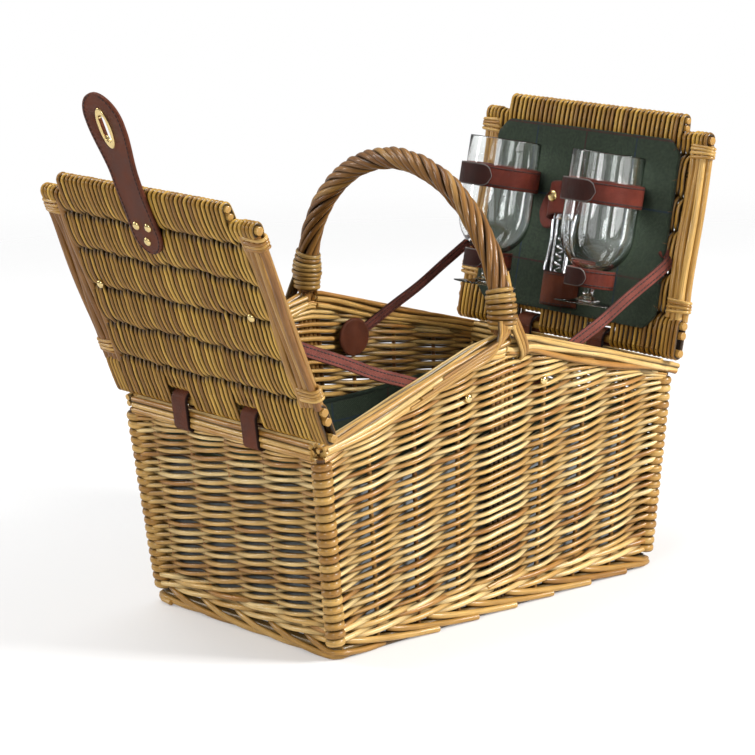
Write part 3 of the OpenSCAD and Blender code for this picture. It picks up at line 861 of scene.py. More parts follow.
@dataclass(frozen=True)
class WillowFinish:
    """Peeled and boiled willow under a thin varnish, with painted shade in the weave's crevices."""

    name: str
    pale: Colour
    mid: Colour
    deep: Colour
    # How dark the painted shade gets deep in the weave's crevices.
    crevice: float = 0.10
    roughness: float = 0.4
    coat: float = 0.42

    def build(self) -> bpy.types.Material:
        """Makes the material.

        Returns:
            The finished material.
        """
        material, nodes, shader = new_material(self.name)
        grain = RodGrain().place(nodes, length=0.035, width=0.9)
        tone = nodes.add("SeparateXYZ")
        nodes.join(nodes.add("Attribute", attribute_name="tone").outputs["Vector"], tone.inputs[0])
        shade, depth, cut = tone.outputs
        pick = nodes.math(
            "ADD", nodes.math("MULTIPLY", shade, 0.75), nodes.math("MULTIPLY", grain.outputs["Patch"], 0.35)
        )
        low = nodes.blend(nodes.ramp(pick, 0.12, 0.55), self.pale, self.mid)
        colour = nodes.blend(nodes.ramp(pick, 0.55, 1.0), low, self.deep)
        streak = nodes.ramp(grain.outputs["Streak"], 0.3, 0.72, (0.72, 1.16))
        colour = nodes.shade(colour, streak)
        dark = nodes.math("MULTIPLY", grain.outputs["Scar"], 0.55)
        colour = nodes.blend(dark, colour, tuple(0.35 * v for v in self.deep))
        # Painted shade: the depth attribute darkens each point, most deep in the weave's crevices.
        shadow = nodes.ramp(depth, 0.05, 0.95, (self.crevice, 1.0))
        colour = nodes.shade(colour, shadow)
        colour = nodes.blend(
            nodes.math("MULTIPLY", cut, 0.8), colour, tuple(min(1.0, 1.05 * v) for v in self.mid)
        )
        nodes.join(colour, shader.inputs["Base Color"])
        gloss = nodes.ramp(grain.outputs["Streak"], 0.2, 0.8, (self.roughness + 0.1, self.roughness - 0.06))
        nodes.join(gloss, shader.inputs["Roughness"])
        nodes.join(nodes.bump(grain.outputs["Streak"], 0.00035), shader.inputs["Normal"])
        shader.inputs["Coat Weight"].default_value = self.coat
        shader.inputs["Coat Roughness"].default_value = 0.16
        shader.inputs["Specular IOR Level"].default_value = 0.2
        return material


@dataclass(frozen=True)
class LeatherFinish:
    """Dyed bridle leather with darker cut edges, whose edge colour is also used for painted shade."""

    name: str
    colour: Colour
    edge: Colour
    roughness: float = 0.4

    def build(self) -> bpy.types.Material:
        """Makes the material.

        Returns:
            The finished material.
        """
        material, nodes, shader = new_material(self.name)
        grain = HideGrain().place(nodes, pores=1500.0, clouds=70.0)
        tone = nodes.add("SeparateXYZ")
        nodes.join(nodes.add("Attribute", attribute_name="tone").outputs["Vector"], tone.inputs[0])
        shift = nodes.ramp(grain.outputs["Cloud"], 0.3, 0.7, (0.78, 1.22))
        colour = nodes.shade(self.colour, shift)
        pores = nodes.ramp(grain.outputs["Pore"], 0.0, 1.0, (0.7, 1.0))
        colour = nodes.shade(colour, pores)
        # The edge mask takes the edge colour: a dyed edge and, in the reddish leather, also painted shade.
        colour = nodes.blend(tone.outputs[2], colour, self.edge)
        nodes.join(colour, shader.inputs["Base Color"])
        nodes.join(
            nodes.ramp(grain.outputs["Cloud"], 0.25, 0.75, (self.roughness - 0.05, self.roughness + 0.12)),
            shader.inputs["Roughness"],
        )
        nodes.join(nodes.bump(grain.outputs["Pore"], 0.00012), shader.inputs["Normal"])
        shader.inputs["Specular IOR Level"].default_value = 0.16
        return material


@dataclass(frozen=True)
class TweedFinish:
    """Dark green tweed with thin blue and red lines, grey on its back."""

    name: str
    ground: Colour = (0.008, 0.015, 0.009)
    light: Colour = (0.046, 0.066, 0.038)
    blue: Colour = (0.010, 0.022, 0.050)
    red: Colour = (0.050, 0.013, 0.012)
    back: Colour = (0.42, 0.46, 0.49)

    def build(self) -> bpy.types.Material:
        """Makes the material.

        Returns:
            The finished material.
        """
        material, nodes, shader = new_material(self.name)
        weave = WoolWeave().place(nodes, threads=3.4, pane=64.0, line=0.9)
        mix = nodes.math(
            "ADD", nodes.math("MULTIPLY", weave.outputs["Twill"], 0.35),
            nodes.math("MULTIPLY", weave.outputs["Fibre"], 0.8)
        )
        colour = nodes.blend(nodes.ramp(mix, 0.38, 0.86), self.ground, self.light)
        loose = nodes.ramp(weave.outputs["Fibre"], 0.35, 0.6)
        colour = nodes.blend(nodes.math("MULTIPLY", weave.outputs["Blue Line"], loose), colour, self.blue)
        colour = nodes.blend(nodes.math("MULTIPLY", weave.outputs["Red Line"], loose), colour, self.red)
        rear = nodes.add("NewGeometry").outputs["Backfacing"]
        colour = nodes.blend(rear, colour, self.back)
        nodes.join(colour, shader.inputs["Base Color"])
        nodes.join(nodes.bump(mix, 0.0004), shader.inputs["Normal"])
        shader.inputs["Roughness"].default_value = 0.92
        shader.inputs["Sheen Weight"].default_value = 0.08
        shader.inputs["Sheen Roughness"].default_value = 0.5
        shader.inputs["Specular IOR Level"].default_value = 0.25
        return material


@dataclass(frozen=True)
class MetalFinish:
    """Polished metal with faint brushing."""

    name: str
    colour: Colour
    roughness: float = 0.16

    def build(self) -> bpy.types.Material:
        """Makes the material.

        Returns:
            The finished material.
        """
        material, nodes, shader = new_material(self.name)
        grain = HideGrain().place(nodes, pores=2600.0, clouds=240.0)
        shift = nodes.ramp(grain.outputs["Cloud"], 0.3, 0.7, (0.88, 1.0))
        nodes.join(nodes.shade(self.colour, shift), shader.inputs["Base Color"])
        nodes.join(
            nodes.ramp(grain.outputs["Cloud"], 0.3, 0.75, (self.roughness, self.roughness + 0.12)),
            shader.inputs["Roughness"],
        )
        shader.inputs["Metallic"].default_value = 1.0
        return material


@dataclass(frozen=True)
class GlassFinish:
    """Clear glass that lets lamps through."""

    name: str

    def build(self) -> bpy.types.Material:
        """Makes the material.

        Returns:
            The finished material.
        """
        material, nodes, shader = new_material(self.name)
        shader.inputs["Base Color"].default_value = (0.97, 0.985, 0.98, 1)
        shader.inputs["Transmission Weight"].default_value = 1.0
        shader.inputs["IOR"].default_value = 1.47
        shader.inputs["Roughness"].default_value = 0.0
        clear = nodes.add("BsdfTransparent")
        mix = nodes.add("MixShader")
        nodes.join(nodes.add("LightPath").outputs["Is Shadow Ray"], mix.inputs[0])
        nodes.join(shader.outputs[0], mix.inputs[1])
        nodes.join(clear.outputs[0], mix.inputs[2])
        nodes.join(mix.outputs[0], material.node_tree.nodes["Material Output"].inputs["Surface"])
        return material


@dataclass(frozen=True)
class ThreadFinish:
    """Waxed sewing thread."""

    name: str
    colour: Colour

    def build(self) -> bpy.types.Material:
        """Makes the material.

        Returns:
            The finished material.
        """
        material, nodes, shader = new_material(self.name)
        grain = RodGrain().place(nodes, length=2.5, width=1.0)
        shift = nodes.ramp(grain.outputs["Streak"], 0.3, 0.7, (0.75, 1.2))
        nodes.join(nodes.shade(self.colour, shift), shader.inputs["Base Color"])
        shader.inputs["Roughness"].default_value = 0.6
        return material


class Finishes:
    """All the materials, made once."""

    def __init__(self) -> None:
        """Builds every finish."""
        # Where a willow finish is given one, its last setting says how dark its painted shade gets deep in
        # the weave.
        self.wall = WillowFinish(
            "wall_willow", (0.88, 0.64, 0.28), (0.68, 0.41, 0.12), (0.43, 0.19, 0.035), crevice=0.12
        ).build()
        self.lid = WillowFinish(
            "lid_willow", (0.66, 0.385, 0.062), (0.46, 0.24, 0.033), (0.27, 0.12, 0.016), crevice=0.025
        ).build()
        self.rope = WillowFinish(
            "rope_willow", (0.46, 0.25, 0.07), (0.31, 0.145, 0.033), (0.19, 0.075, 0.018), crevice=0.06
        ).build()
        self.binding = WillowFinish(
            "binding_willow", (0.64, 0.39, 0.115), (0.48, 0.26, 0.06), (0.32, 0.145, 0.028)
        ).build()
        self.stake = WillowFinish(
            "stake_willow", (0.46, 0.24, 0.07), (0.32, 0.14, 0.035), (0.20, 0.08, 0.02)
        ).build()
        # The reddish leather's near-black edge is partly a dyed edge and partly painted shade for the dark
        # inside of the hinge loops.
        self.leather = LeatherFinish(
            "reddish_leather", (0.125, 0.033, 0.014), (0.016, 0.006, 0.004)
        ).build()
        self.stay = LeatherFinish("stay_leather", (0.20, 0.055, 0.040), (0.05, 0.016, 0.012)).build()
        self.cuff = LeatherFinish("cuff_leather", (0.150, 0.028, 0.016), (0.075, 0.02, 0.013)).build()
        self.dark = LeatherFinish("dark_leather", (0.042, 0.010, 0.006), (0.16, 0.15, 0.14)).build()
        self.thread = ThreadFinish("sewing_thread", (0.018, 0.006, 0.005)).build()
        self.tweed = TweedFinish("green_tweed").build()
        self.brass = MetalFinish("polished_brass", (0.86, 0.66, 0.30)).build()
        self.steel = MetalFinish("chromed_steel", (0.80, 0.81, 0.84), 0.08).build()
        self.glass = GlassFinish("clear_glass").build()


# ---------------------------------------------------------------- pieces


def finish_piece(
    piece: bpy.types.Object, body: str, material: bpy.types.Material, nodes: Sequence[str] = ()
) -> bpy.types.Object:
    """Dresses a piece, makes it ride on its body and hides the CAD nodes that it stands for.

    Args:
        piece: The new object.
        body: The body that it rides on.
        material: Its finish.
        nodes: The CAD nodes that it replaces.

    Returns:
        The same object.
    """
    piece.data.materials.append(material)
    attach(piece, body)
    if nodes:
        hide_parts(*nodes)
    log.info("%s: %d faces on %s", piece.name, len(piece.data.polygons), body)
    return piece


def bend_piece(
    piece: bpy.types.Object,
    bodies: tuple[str, str],
    material: bpy.types.Material,
    nodes: Sequence[str] = (),
) -> None:
    """Dresses a leather piece that runs between two bodies, with its place baked into its points.

    Args:
        piece: The new object.
        bodies: The bodies at its two ends.
        material: Its finish.
        nodes: The CAD nodes that it replaces.
    """
    piece.data.materials.append(material)
    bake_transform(piece)
    if nodes:
        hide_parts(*nodes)
    log.info("%s: %d faces, between %s and %s", piece.name, len(piece.data.polygons), *bodies)


@dataclass
class WovenWall:
    """One wall in randing: thin rods that climb to the right, over and under the stakes."""

    name: str
    place: Place
    spans: int
    half_low: float
    half_high: float
    top: Callable[[Array], Array]
    phase: float
    nodes: tuple[str, ...]
    group: float = 0.0
    bottom: float = 30.0
    rod_r: float = 2.3
    pitch: float = 3.85
    rise: float = 7.4
    swing: float = 4.0
    stake_r: float = 2.0
    seed: int = 5

    def across(self, u: Array, s: Array) -> Array:
        """Distance from the wall's middle at a stake number and a distance up the wall."""
        return u * 2 / self.spans * (self.half_low + (self.half_high - self.half_low) * s / 200.0)

    def wave(self, u: Array) -> Array:
        """How far in front of the stakes a rod of the even rows runs, from -1 to 1."""
        inner = np.sign(u) * np.maximum(0, (np.abs(u) - self.group) / (1 - self.group))
        return np.cos(math.pi * (np.where(np.abs(u) < 1, inner, u) - self.phase))

    def weave(self, maker: MeshMaker) -> None:
        """Adds the climbing rods.

        Args:
            maker: The mesh to add to.
        """
        reach = self.spans / 2
        u = np.linspace(-reach, reach, self.spans * 9 + 1)
        whole = np.arange(-math.ceil(reach) - 1, math.ceil(reach) + 2)
        top = self.top(self.across(u, 200.0))
        first = -int(self.rise * self.spans / self.pitch) - 1
        last = int((top.max() - self.bottom) / self.pitch) + 10
        up = self.place.turn((0, 1, 0))
        for row in range(first, last):
            line = self.bottom + row * self.pitch + self.rise * (u + reach)
            line = line + np.interp(u, whole, maker.draw.normal(0, 0.45, len(whole)))
            d = top - line
            soft = np.sqrt(d * d + 18.0**2)
            room = (d + soft) / 2
            keep = np.flatnonzero((line > self.bottom - 4) & (room > 3.0))
            for run in np.split(keep, np.flatnonzero(np.diff(keep) > 1) + 1):
                if len(run) < 4:
                    continue
                v = u[run]
                s = (top - room)[run]
                tight = np.sqrt((0.5 * (1 + d / soft))[run])
                size = np.interp(v, whole, 1 + maker.draw.normal(0, 0.05, len(whole)))
                n = self.wave(v) * (1 if row % 2 == 0 else -1)
                path = xyz(self.across(v, s), s, n * self.swing * size)
                radius = self.rod_r * maker.vary(0.88, 1.12) * np.clip(tight + 0.1, 0.6, 1)
                # Painted shade: the rods are darkened where they pass behind the stakes, through open_to and
                # away.
                maker.rod(self.place.at(path), radius, up, sides=8, open_to=self.place.z, away=n)

    def stand(self, maker: MeshMaker) -> None:
        """Adds the stakes.

        Args:
            maker: The mesh to add to.
        """
        reach = (self.spans - 1) // 2 if self.phase == 0 else (self.spans - 1) / 2
        for k in np.arange(-reach, reach + 0.5):
            if self.group and k == 0:
                continue
            s = np.linspace(10.0, float(self.top(np.array([self.across(k, 200.0)]))[0]) - 3, 12)
            x = self.across(k, s) + maker.draw.normal(0, 0.3, len(s))
            path = xyz(x, s, np.zeros_like(s))
            # Painted shade: the stakes behind the weavers are darkened a little (depth 0.75).
            maker.rod(self.place.at(path), self.stake_r, self.place.z, sides=8, depth=0.75)

    def build(self, finishes: Finishes) -> None:
        """Makes the wall's two pieces.

        Args:
            finishes: The materials of the basket.
        """
        maker = MeshMaker(self.seed)
        self.weave(maker)
        finish_piece(maker.mesh(f"{self.name}_weave"), "basket", finishes.wall, self.nodes)
        maker = MeshMaker(self.seed + 50)
        self.stand(maker)
        finish_piece(maker.mesh(f"{self.name}_stakes"), "basket", finishes.stake)


@dataclass
class Foot:
    """The wale above the floor, the plaited foot border and the woven base."""

    ring: Ring
    wale_r: float = 2.4
    wale_z: tuple[float, ...] = (18.5, 26.5)
    border_r: float = 2.8

    def wales(self, maker: MeshMaker) -> None:
        """Adds bands of three rods that twist round the stakes.

        Args:
            maker: The mesh to add to.
        """
        q = np.linspace(0, self.ring.total, self.ring.stakes * 9 + 1)
        turns = q / self.ring.pitch * 2 * math.pi / 3
        for z in self.wale_z:
            for strand in range(3):
                a = turns + strand * 2 * math.pi / 3
                out = 4.7 * np.cos(a)
                path = self.ring.at(q, z + 2.4 * np.sin(a), out)
                # Painted shade: the strands darken where they cross between the front and the back.
                maker.rod(path, self.wale_r, (0, 0, 1), depth=0.3 + 0.7 * np.abs(np.cos(a)))

    def border(self, maker: MeshMaker) -> None:
        """Adds a turned-down stake at each stake's place, each over the next ones.

        Args:
            maker: The mesh to add to.
        """
        long_run = self.ring.lengths[0] + self.ring.lengths[1]
        for k in range(self.ring.stakes):
            start = (k + 0.1) * self.ring.pitch
            half_ring = self.ring.total / 2
            on_long = (start % half_ring) < long_run - self.ring.pitch
            if on_long:
                knots = [
                    (0.0, 15.5, 1.0), (0.3, 12.8, 4.6), (0.75, 9.4, 5.2), (1.25, 6.2, 5.0), (1.7, 4.2, 5.6),
                    (2.15, 3.2, 7.4)
                ]
            else:
                knots = [
                    (0.0, 15.5, 0.0), (0.35, 11.5, 4.0), (0.8, 6.6, 4.9), (1.4, 3.6, 4.2), (2.0, 3.1, 1.0),
                    (2.4, 3.2, -3.5)
                ]
            line = curve(knots, 26)
            wiggle = maker.jitter(0.25)
            path = self.ring.at(start + line[:, 0] * self.ring.pitch, line[:, 1], line[:, 2] + wiggle)
            radius = self.border_r * maker.vary(0.94, 1.06) * np.linspace(0.92, 1.0, 26)
            # Painted shade: the turned-down stakes darken where they lie further in.
            maker.rod(path, radius, (0, 0, 1), sides=10, depth=0.45 + 0.55 * smooth(line[:, 2], 0, 4))
        q = np.linspace(0, self.ring.total, 240)
        for z, out, r in ((3.0, -4.0, 3.0), (8.5, -3.0, 2.8), (3.0, 1.0, 2.9), (8.6, 1.2, 2.6)):
            # Painted shade on the rods under the border (depth 0.3).
            maker.rod(self.ring.at(q, z, out), r, (0, 0, 1), depth=0.3)

    def base(self, maker: MeshMaker) -> None:
        """Adds the base's sticks and the rods woven through them.

        Args:
            maker: The mesh to add to.
        """
        half_x, half_y, z = 178.0, 110.0, 12.0
        sticks = np.linspace(-half_y + 12, half_y - 12, 9)
        for y in sticks:
            x = np.linspace(-half_x, half_x, 12)
            # Painted shade on the base sticks (depth 0.6).
            maker.rod(xyz(x, y, z), 2.6, (0, 0, 1), depth=0.6)
        step = sticks[1] - sticks[0]
        y = np.linspace(-half_y, half_y, 60)
        for i, x in enumerate(np.arange(-half_x + 3, half_x - 2, 4.7)):
            lift = np.cos(math.pi * (y - sticks[0]) / step) * (1 if i % 2 else -1)
            path = xyz(x, y, z + lift * 2.9)
            # Painted shade: the weavers darken where they pass between the sticks.
            maker.rod(path, 1.9, (1, 0, 0), sides=6, depth=0.3 + 0.7 * np.abs(lift))

    def build(self, finishes: Finishes) -> None:
        """Makes the foot's pieces.

        Args:
            finishes: The materials of the basket.
        """
        maker = MeshMaker(11)
        self.wales(maker)
        finish_piece(maker.mesh("base_wale"), "basket", finishes.wall)
        maker = MeshMaker(12)
        self.border(maker)
        finish_piece(maker.mesh("foot_plait"), "basket", finishes.binding, ("foot_border",))
        maker = MeshMaker(13)
        self.base(maker)
        finish_piece(maker.mesh("base_mat"), "basket", finishes.wall, ("base_weave",))


@dataclass
class Corners:
    """The corner posts, with the weaving rods wrapped round them."""

    shape: BasketShape
    pitch: float = 7.45
    post_r: float = 5.2
    wrap_r: float = 6.6

    def build(self, finishes: Finishes) -> None:
        """Makes the posts and their wraps.

        Args:
            finishes: The materials of the basket.
        """
        posts, wraps = MeshMaker(21), MeshMaker(22)
        for sx in (-1, 1):
            for sy in (-1, 1):
                z = np.linspace(24.0, 180.0, 8)
                axis = xyz(sx * self.shape.post_x(z), sy * self.shape.post_y(z), z)
                # Painted shade on the posts under the wraps (depth 0.4).
                posts.rod(axis, self.post_r, (0, 1, 0), sides=12, depth=0.4)
                self.wrap(wraps, sx, sy)
        finish_piece(posts.mesh("corner_sticks"), "basket", finishes.stake, ("corner_posts",))
        finish_piece(wraps.mesh("corner_wraps"), "basket", finishes.binding)

    def wrap(self, maker: MeshMaker, sx: int, sy: int) -> None:
        """Adds the wraps of one corner.

        Args:
            maker: The mesh to add to.
            sx: Sign of the side along X, -1 or 1.
            sy: Sign of the side along Y, -1 or 1.
        """
        outward = math.atan2(sy, sx)
        for z in np.arange(17.0, 180.0, self.pitch):
            spread = math.radians(112)
            angle = outward + np.linspace(-spread, spread, 17) * (sx * sy)
            r = self.wrap_r + maker.jitter(0.15)
            tilt = np.linspace(-1.0, 1.0, 17) * 0.9
            height = z + tilt + maker.jitter(0.2)
            centre_x, centre_y = sx * self.shape.post_x(height), sy * self.shape.post_y(height)
            path = xyz(centre_x + r * np.cos(angle), centre_y + r * np.sin(angle), height)
            lead = np.array(
                [path[0] + unit(path[0] - path[1]) * 9, path[-1] + unit(path[-1] - path[-2]) * 9]
            )
            path = np.vstack([lead[:1], path, lead[1:]])
            # Painted shade on the wraps' leads, where they go into the weave.
            depth = np.concatenate([[0.2], np.full(17, 1.0), [0.2]])
            open_to = xyz(
                path[:, 0] - sx * self.shape.post_x(z), path[:, 1] - sy * self.shape.post_y(z),
                0 * path[:, 2]
            )
            maker.rod(
                path, 2.35, (0, 0, 1), sides=10, flat=1.5, depth=depth, open_to=unit(open_to),
                caps=(False, False)
            )


@dataclass
class Rims:
    """Bundles of rods along the top edges."""

    shape: BasketShape
    rod_r: float = 2.65

    def open_side(self, place: Place, out: float, down: float) -> Array:
        """The direction in which a rod of a bundle is open, which its painted shade is measured from: up from
        the top layer, else out.
        """
        return unit(place.turn((0, 1.4 if down < 3 else 0.3, np.sign(round(out / 3)))))

    def slope_bundle(self, maker: MeshMaker, face: Face, way: int) -> None:
        """Adds the rods of one sloping edge.

        Args:
            maker: Where they go.
            face: The long side.
            way: -1 or 1 for the slope towards the left or the right end, in the wall's frame.
        """
        place = self.shape.long_wall(face)
        lean = math.cos(self.shape.side_lean)
        spots = [
            (5.2, 0.0), (5.6, 5.0), (5.3, 10.0), (0.3, -0.4), (0.2, 5.0), (0.0, 10.0), (-5.2, 0.2),
            (-5.4, 5.2), (-5.2, 10.2)
        ]
        for out, down in spots:
            start = maker.vary(-3, 4) if out > 1 else 6.0
            horn = 9.0 if (face, way) == (Face.FRONT, 1) else -2.0
            finish = self.shape.pivot_x + horn + maker.vary(-2, 4)
            x = np.linspace(start, finish, 30)
            top = self.shape.rim_top(np.maximum(x, 0)) / lean
            wander = maker.vary(0, 6.28)
            t = (x - start) / (finish - start)
            low = 3.4 * np.sin(2.3 * math.pi * t + wander)
            side = 0.6 * np.sin(3.1 * math.pi * t + wander * 1.7)
            squeeze = 1 - 0.4 * smooth(x, self.shape.pivot_x - 70, self.shape.pivot_x + 8)
            dip = 7.0 * (1 - smooth(x, 2, 34)) * (1 if out > 1 else 0.3)
            drop = np.maximum(self.rod_r + down * squeeze + 0.4 + low * 0.5 + dip, self.rod_r + 0.5)
            path = xyz(way * x, top - drop / math.cos(self.shape.slope), out + side)
            radius = self.rod_r * maker.vary(0.86, 1.1)
            maker.rod(place.at(path), radius, place.y, sides=10, open_to=self.open_side(place, out, down))

    def core(self, maker: MeshMaker, face: Face) -> None:
        """Adds the stout rods hidden inside one long rim.

        Args:
            maker: The mesh to add to.
            face: The front or the back.
        """
        place = self.shape.long_wall(face)
        for way in (-1, 1):
            x = np.linspace(4.0, self.shape.pivot_x - 4, 12)
            top = self.shape.rim_top(x) / math.cos(self.shape.side_lean)
            for out, down in ((2.6, 8.3), (-2.6, 8.3), (0.0, 13.5)):
                path = xyz(way * x, top - down / math.cos(self.shape.slope), 0 * x + out)
                # Painted shade on the hidden core rods (depth 0.4).
                maker.rod(place.at(path), 3.6, place.y, sides=8, depth=0.4)

    def end_bundle(self, maker: MeshMaker, side: Side) -> None:
        """Adds the rods of one end's top edge.

        Args:
            maker: The mesh to add to.
            side: The left or the right end.
        """
        place = self.shape.end_wall(side)
        top = (self.shape.hinge_h - self.shape.lid_r - self.shape.lid_gap) / math.cos(self.shape.end_lean)
        half = self.shape.post_y(185.0) - 7.5
        spots = [
            (4.6, 0.0), (5.4, 4.9), (5.0, 9.8), (0.0, 0.2), (0.0, 5.2), (0.0, 10.2), (-4.8, 0.4),
            (-5.2, 5.4), (-4.8, 10.4)
        ]
        for out, down in spots:
            x = np.linspace(-half - 1.5, half + 1.5, 34)
            wander = maker.vary(0, 6.28)
            t = (x + half) / (2 * half)
            bend = 0.7 * np.sin(3.3 * math.pi * t + wander)
            path = xyz(x, np.full_like(x, top - self.rod_r - down) + bend * 0.4 - 0.3, out + bend)
            radius = self.rod_r * maker.vary(0.9, 1.05)
            maker.rod(place.at(path), radius, place.y, sides=10, open_to=self.open_side(place, out, down))

    def build(self, finishes: Finishes) -> None:
        """Makes the four rims.

        Args:
            finishes: The materials of the basket.
        """
        for face in Face:
            maker = MeshMaker(31 + face.value)
            for way in (-1, 1):
                self.slope_bundle(maker, face, way)
            self.core(maker, face)
            finish_piece(
                maker.mesh(f"{face.word}_rim_rods"), "basket", finishes.wall,
                (f"rim_{face.word}",)
            )
        for side in Side:
            maker = MeshMaker(36 + side.value)
            self.end_bundle(maker, side)
            finish_piece(
                maker.mesh(f"{side.word}_end_rim_rods"), "basket", finishes.wall,
                (f"rim_{side.word}_end",)
            )


@dataclass
class Handle:
    """The roped hoop, its stakes, its bindings and the rods that splay over the rims."""

    shape: BasketShape
    strands: int = 8
    strand_r: float = 3.0
    lay_r: float = 6.9
    binding_len: float = 35.0

    def centre(self, angle: Array) -> Array:
        """Points on the rope's centre line at angles from the front, in radians."""
        r, z = self.shape.hoop_r, self.shape.hoop_z
        return xyz(0 * angle, -r * np.cos(angle), z + r * np.sin(angle))

    def outward(self, angle: Array) -> Array:
        """The directions away from the hoop's centre."""
        return xyz(0 * angle, -np.cos(angle), np.sin(angle))

    def rope(self, maker: MeshMaker) -> None:
        """Adds the strands that twist along the hoop.

        Args:
            maker: The mesh to add to.
        """
        lean = self.shape.side_lean
        angle = np.linspace(-lean, math.pi + lean, 150)
        lay = math.radians(9) + math.radians(16) * np.sin(np.clip(angle, 0, math.pi)) ** 0.9
        step = np.gradient(angle) * self.shape.hoop_r
        twist = np.cumsum(np.tan(lay) / self.lay_r * step)
        out, centre = self.outward(angle), self.centre(angle)
        for k in range(self.strands):
            wander = maker.vary(0, 6.28)
            phi = twist + k * 2 * math.pi / self.strands + 0.10 * np.sin(5 * angle + wander)
            r = self.lay_r + 0.35 * np.sin(3 * angle + wander)
            spot = np.cos(phi)[:, None] * out + np.sin(phi)[:, None] * np.array([1.0, 0, 0])
            radius = self.strand_r * (1 + 0.06 * np.sin(4 * angle + wander)) * maker.vary(0.93, 1.07)
            maker.rod(centre + r[:, None] * spot, radius, spot, sides=12, open_to=spot)
        # Painted shade: a fully darkened core rod fills the gaps between the strands.
        maker.rod(centre, 4.6, (1, 0, 0), sides=12, depth=0.0, shade=0.9)

    def stakes(self, maker: MeshMaker) -> None:
        """Adds the bow's legs and the stakes beside them.

        Args:
            maker: The mesh to add to.
        """
        for sy in (-1, 1):
            for x, r in ((-10.6, 2.3), (-5.3, 2.4), (0.0, 2.9), (5.4, 2.4), (10.6, 2.3)):
                z = np.linspace(12.0, 262.0, 16)
                draw_in = 1 - 0.35 * smooth(z, 225, 262)
                sway = 0.5 * np.sin(z / 38 + x)
                path = xyz(x * draw_in + sway, sy * self.shape.post_y(z), z)
                # Painted shade: the legs are darker low down, where they run inside the weave.
                maker.rod(path, r, (1, 0, 0), sides=8, depth=0.2 + 0.8 * smooth(z, 150, 215))

    def binding(self, maker: MeshMaker, sy: int) -> None:
        """Adds the turns of pale willow round one foot.

        Args:
            maker: The mesh to add to.
            sy: Sign of the side along Y, -1 or 1.
        """
        turns = 8
        first = 2.2 / self.shape.hoop_r - self.shape.side_lean
        length = self.binding_len / self.shape.hoop_r
        for k in range(turns):
            phase = np.linspace(0, 2 * math.pi, 36)
            tilt = 0.9 * np.cos(phase + 1.0) + maker.jitter(0.2)
            mid = first + length * (k + 0.5) / turns
            angle = mid + tilt / self.shape.hoop_r
            angle = angle if sy < 0 else math.pi - angle
            out, centre = self.outward(angle), self.centre(angle)
            wide = 10.5 + 1.5 * math.sin(math.pi * (k + 0.5) / turns) + maker.jitter(0.25)
            wide = wide + 0.35 * np.sin(2 * phase + k)
            spot = np.cos(phase)[:, None] * out + np.sin(phase)[:, None] * np.array([1.0, 0, 0])
            maker.rod(
                centre + np.reshape(wide, (-1, 1)) * spot, 2.25, spot, sides=10, flat=0.7, open_to=spot,
                caps=(False, False)
            )

    def cut_ends(self, maker: MeshMaker, sy: int) -> None:
        """Adds the short rods whose cut ends show above a binding.

        Args:
            maker: The mesh to add to.
            sy: Sign of the side along Y, -1 or 1.
        """
        for k, (phi, length) in enumerate(((0.75, 40), (1.15, 43), (1.6, 39))):
            arc = np.linspace(0.0, length / self.shape.hoop_r, 10)
            angle = arc if sy < 0 else math.pi - arc
            spin = phi - 0.25 * np.linspace(0, 1, 10)
            spot = np.cos(spin)[:, None] * self.outward(angle) + np.sin(spin)[:, None] * np.array([1.0, 0, 0])
            maker.rod(self.centre(angle) + (9.3 - 0.05 * k) * spot, 2.0, spot, sides=8)

    def spurs(self, maker: MeshMaker, face: Face) -> None:
        """Adds the rods that fan from one foot: short ones over one rim, long ones along the other.

        Args:
            maker: The mesh to add to.
            face: The front or the back.
        """
        place = self.shape.long_wall(face)
        lean = math.cos(self.shape.side_lean)
        foot = self.shape.hoop_z / lean
        for k in range(3):
            knots = [
                (1.0 + 3.6 * k, foot + 7, 8.2 - 0.8 * k),
                (4.0 + 3.8 * k, foot - 5, 10.8),
                (9.5 + 3.8 * k, foot - 17, 11.6),
                (14.5 + 2.6 * k, foot - 27 + k, 9.6),
                (16.5 + 2.0 * k, foot - 33 + k, 4.5),
            ]
            path = curve(knots, 20)
            maker.rod(place.at(path), np.linspace(2.4, 1.9, 20), place.x, sides=10, open_to=place.z)
        for k in range(4):
            reach = (14.0 + 3 * k, 32.0 + 5 * k, 58.0 + 10 * k, 76.0 + 12 * k)
            rim = [float(self.shape.rim_top(x)) / lean for x in reach]
            knots = [(-0.5 - 2.9 * k, foot + 5, 8.4 - 0.6 * k), (-4.5 - 2.8 * k, foot - 6 - k, 10.4)]
            knots += [(-x, z - 3.6 - 2.7 * k - 0.03 * x, 10.6 - 0.03 * x) for x, z in zip(reach, rim)]
            path = curve(knots, 30)
            maker.rod(
                place.at(path), np.linspace(2.3, 1.7, 30), place.turn((0.3, 0.95, 0)), sides=10,
                open_to=place.z
            )

    def build(self, finishes: Finishes) -> None:
        """Makes the handle's pieces.

        Args:
            finishes: The materials of the basket.
        """
        maker = MeshMaker(41)
        self.rope(maker)
        finish_piece(
            maker.mesh("handle_twist"), "basket", finishes.rope, ("handle_rope", "handle_bow")
        )
        maker = MeshMaker(42)
        self.stakes(maker)
        finish_piece(maker.mesh("handle_leg_rods"), "basket", finishes.rope, ("handle_stakes",))
        maker = MeshMaker(43)
        for sy in (-1, 1):
            self.binding(maker, sy)
        finish_piece(
            maker.mesh("foot_bindings"), "basket", finishes.binding, ("handle_bindings",)
        )
        maker = MeshMaker(44)
        for sy, face in ((-1, Face.FRONT), (1, Face.BACK)):
            self.cut_ends(maker, sy)
            self.spurs(maker, face)
        finish_piece(
            maker.mesh("splayed_rods"), "basket", finishes.binding, ("handle_spurs",)
        )


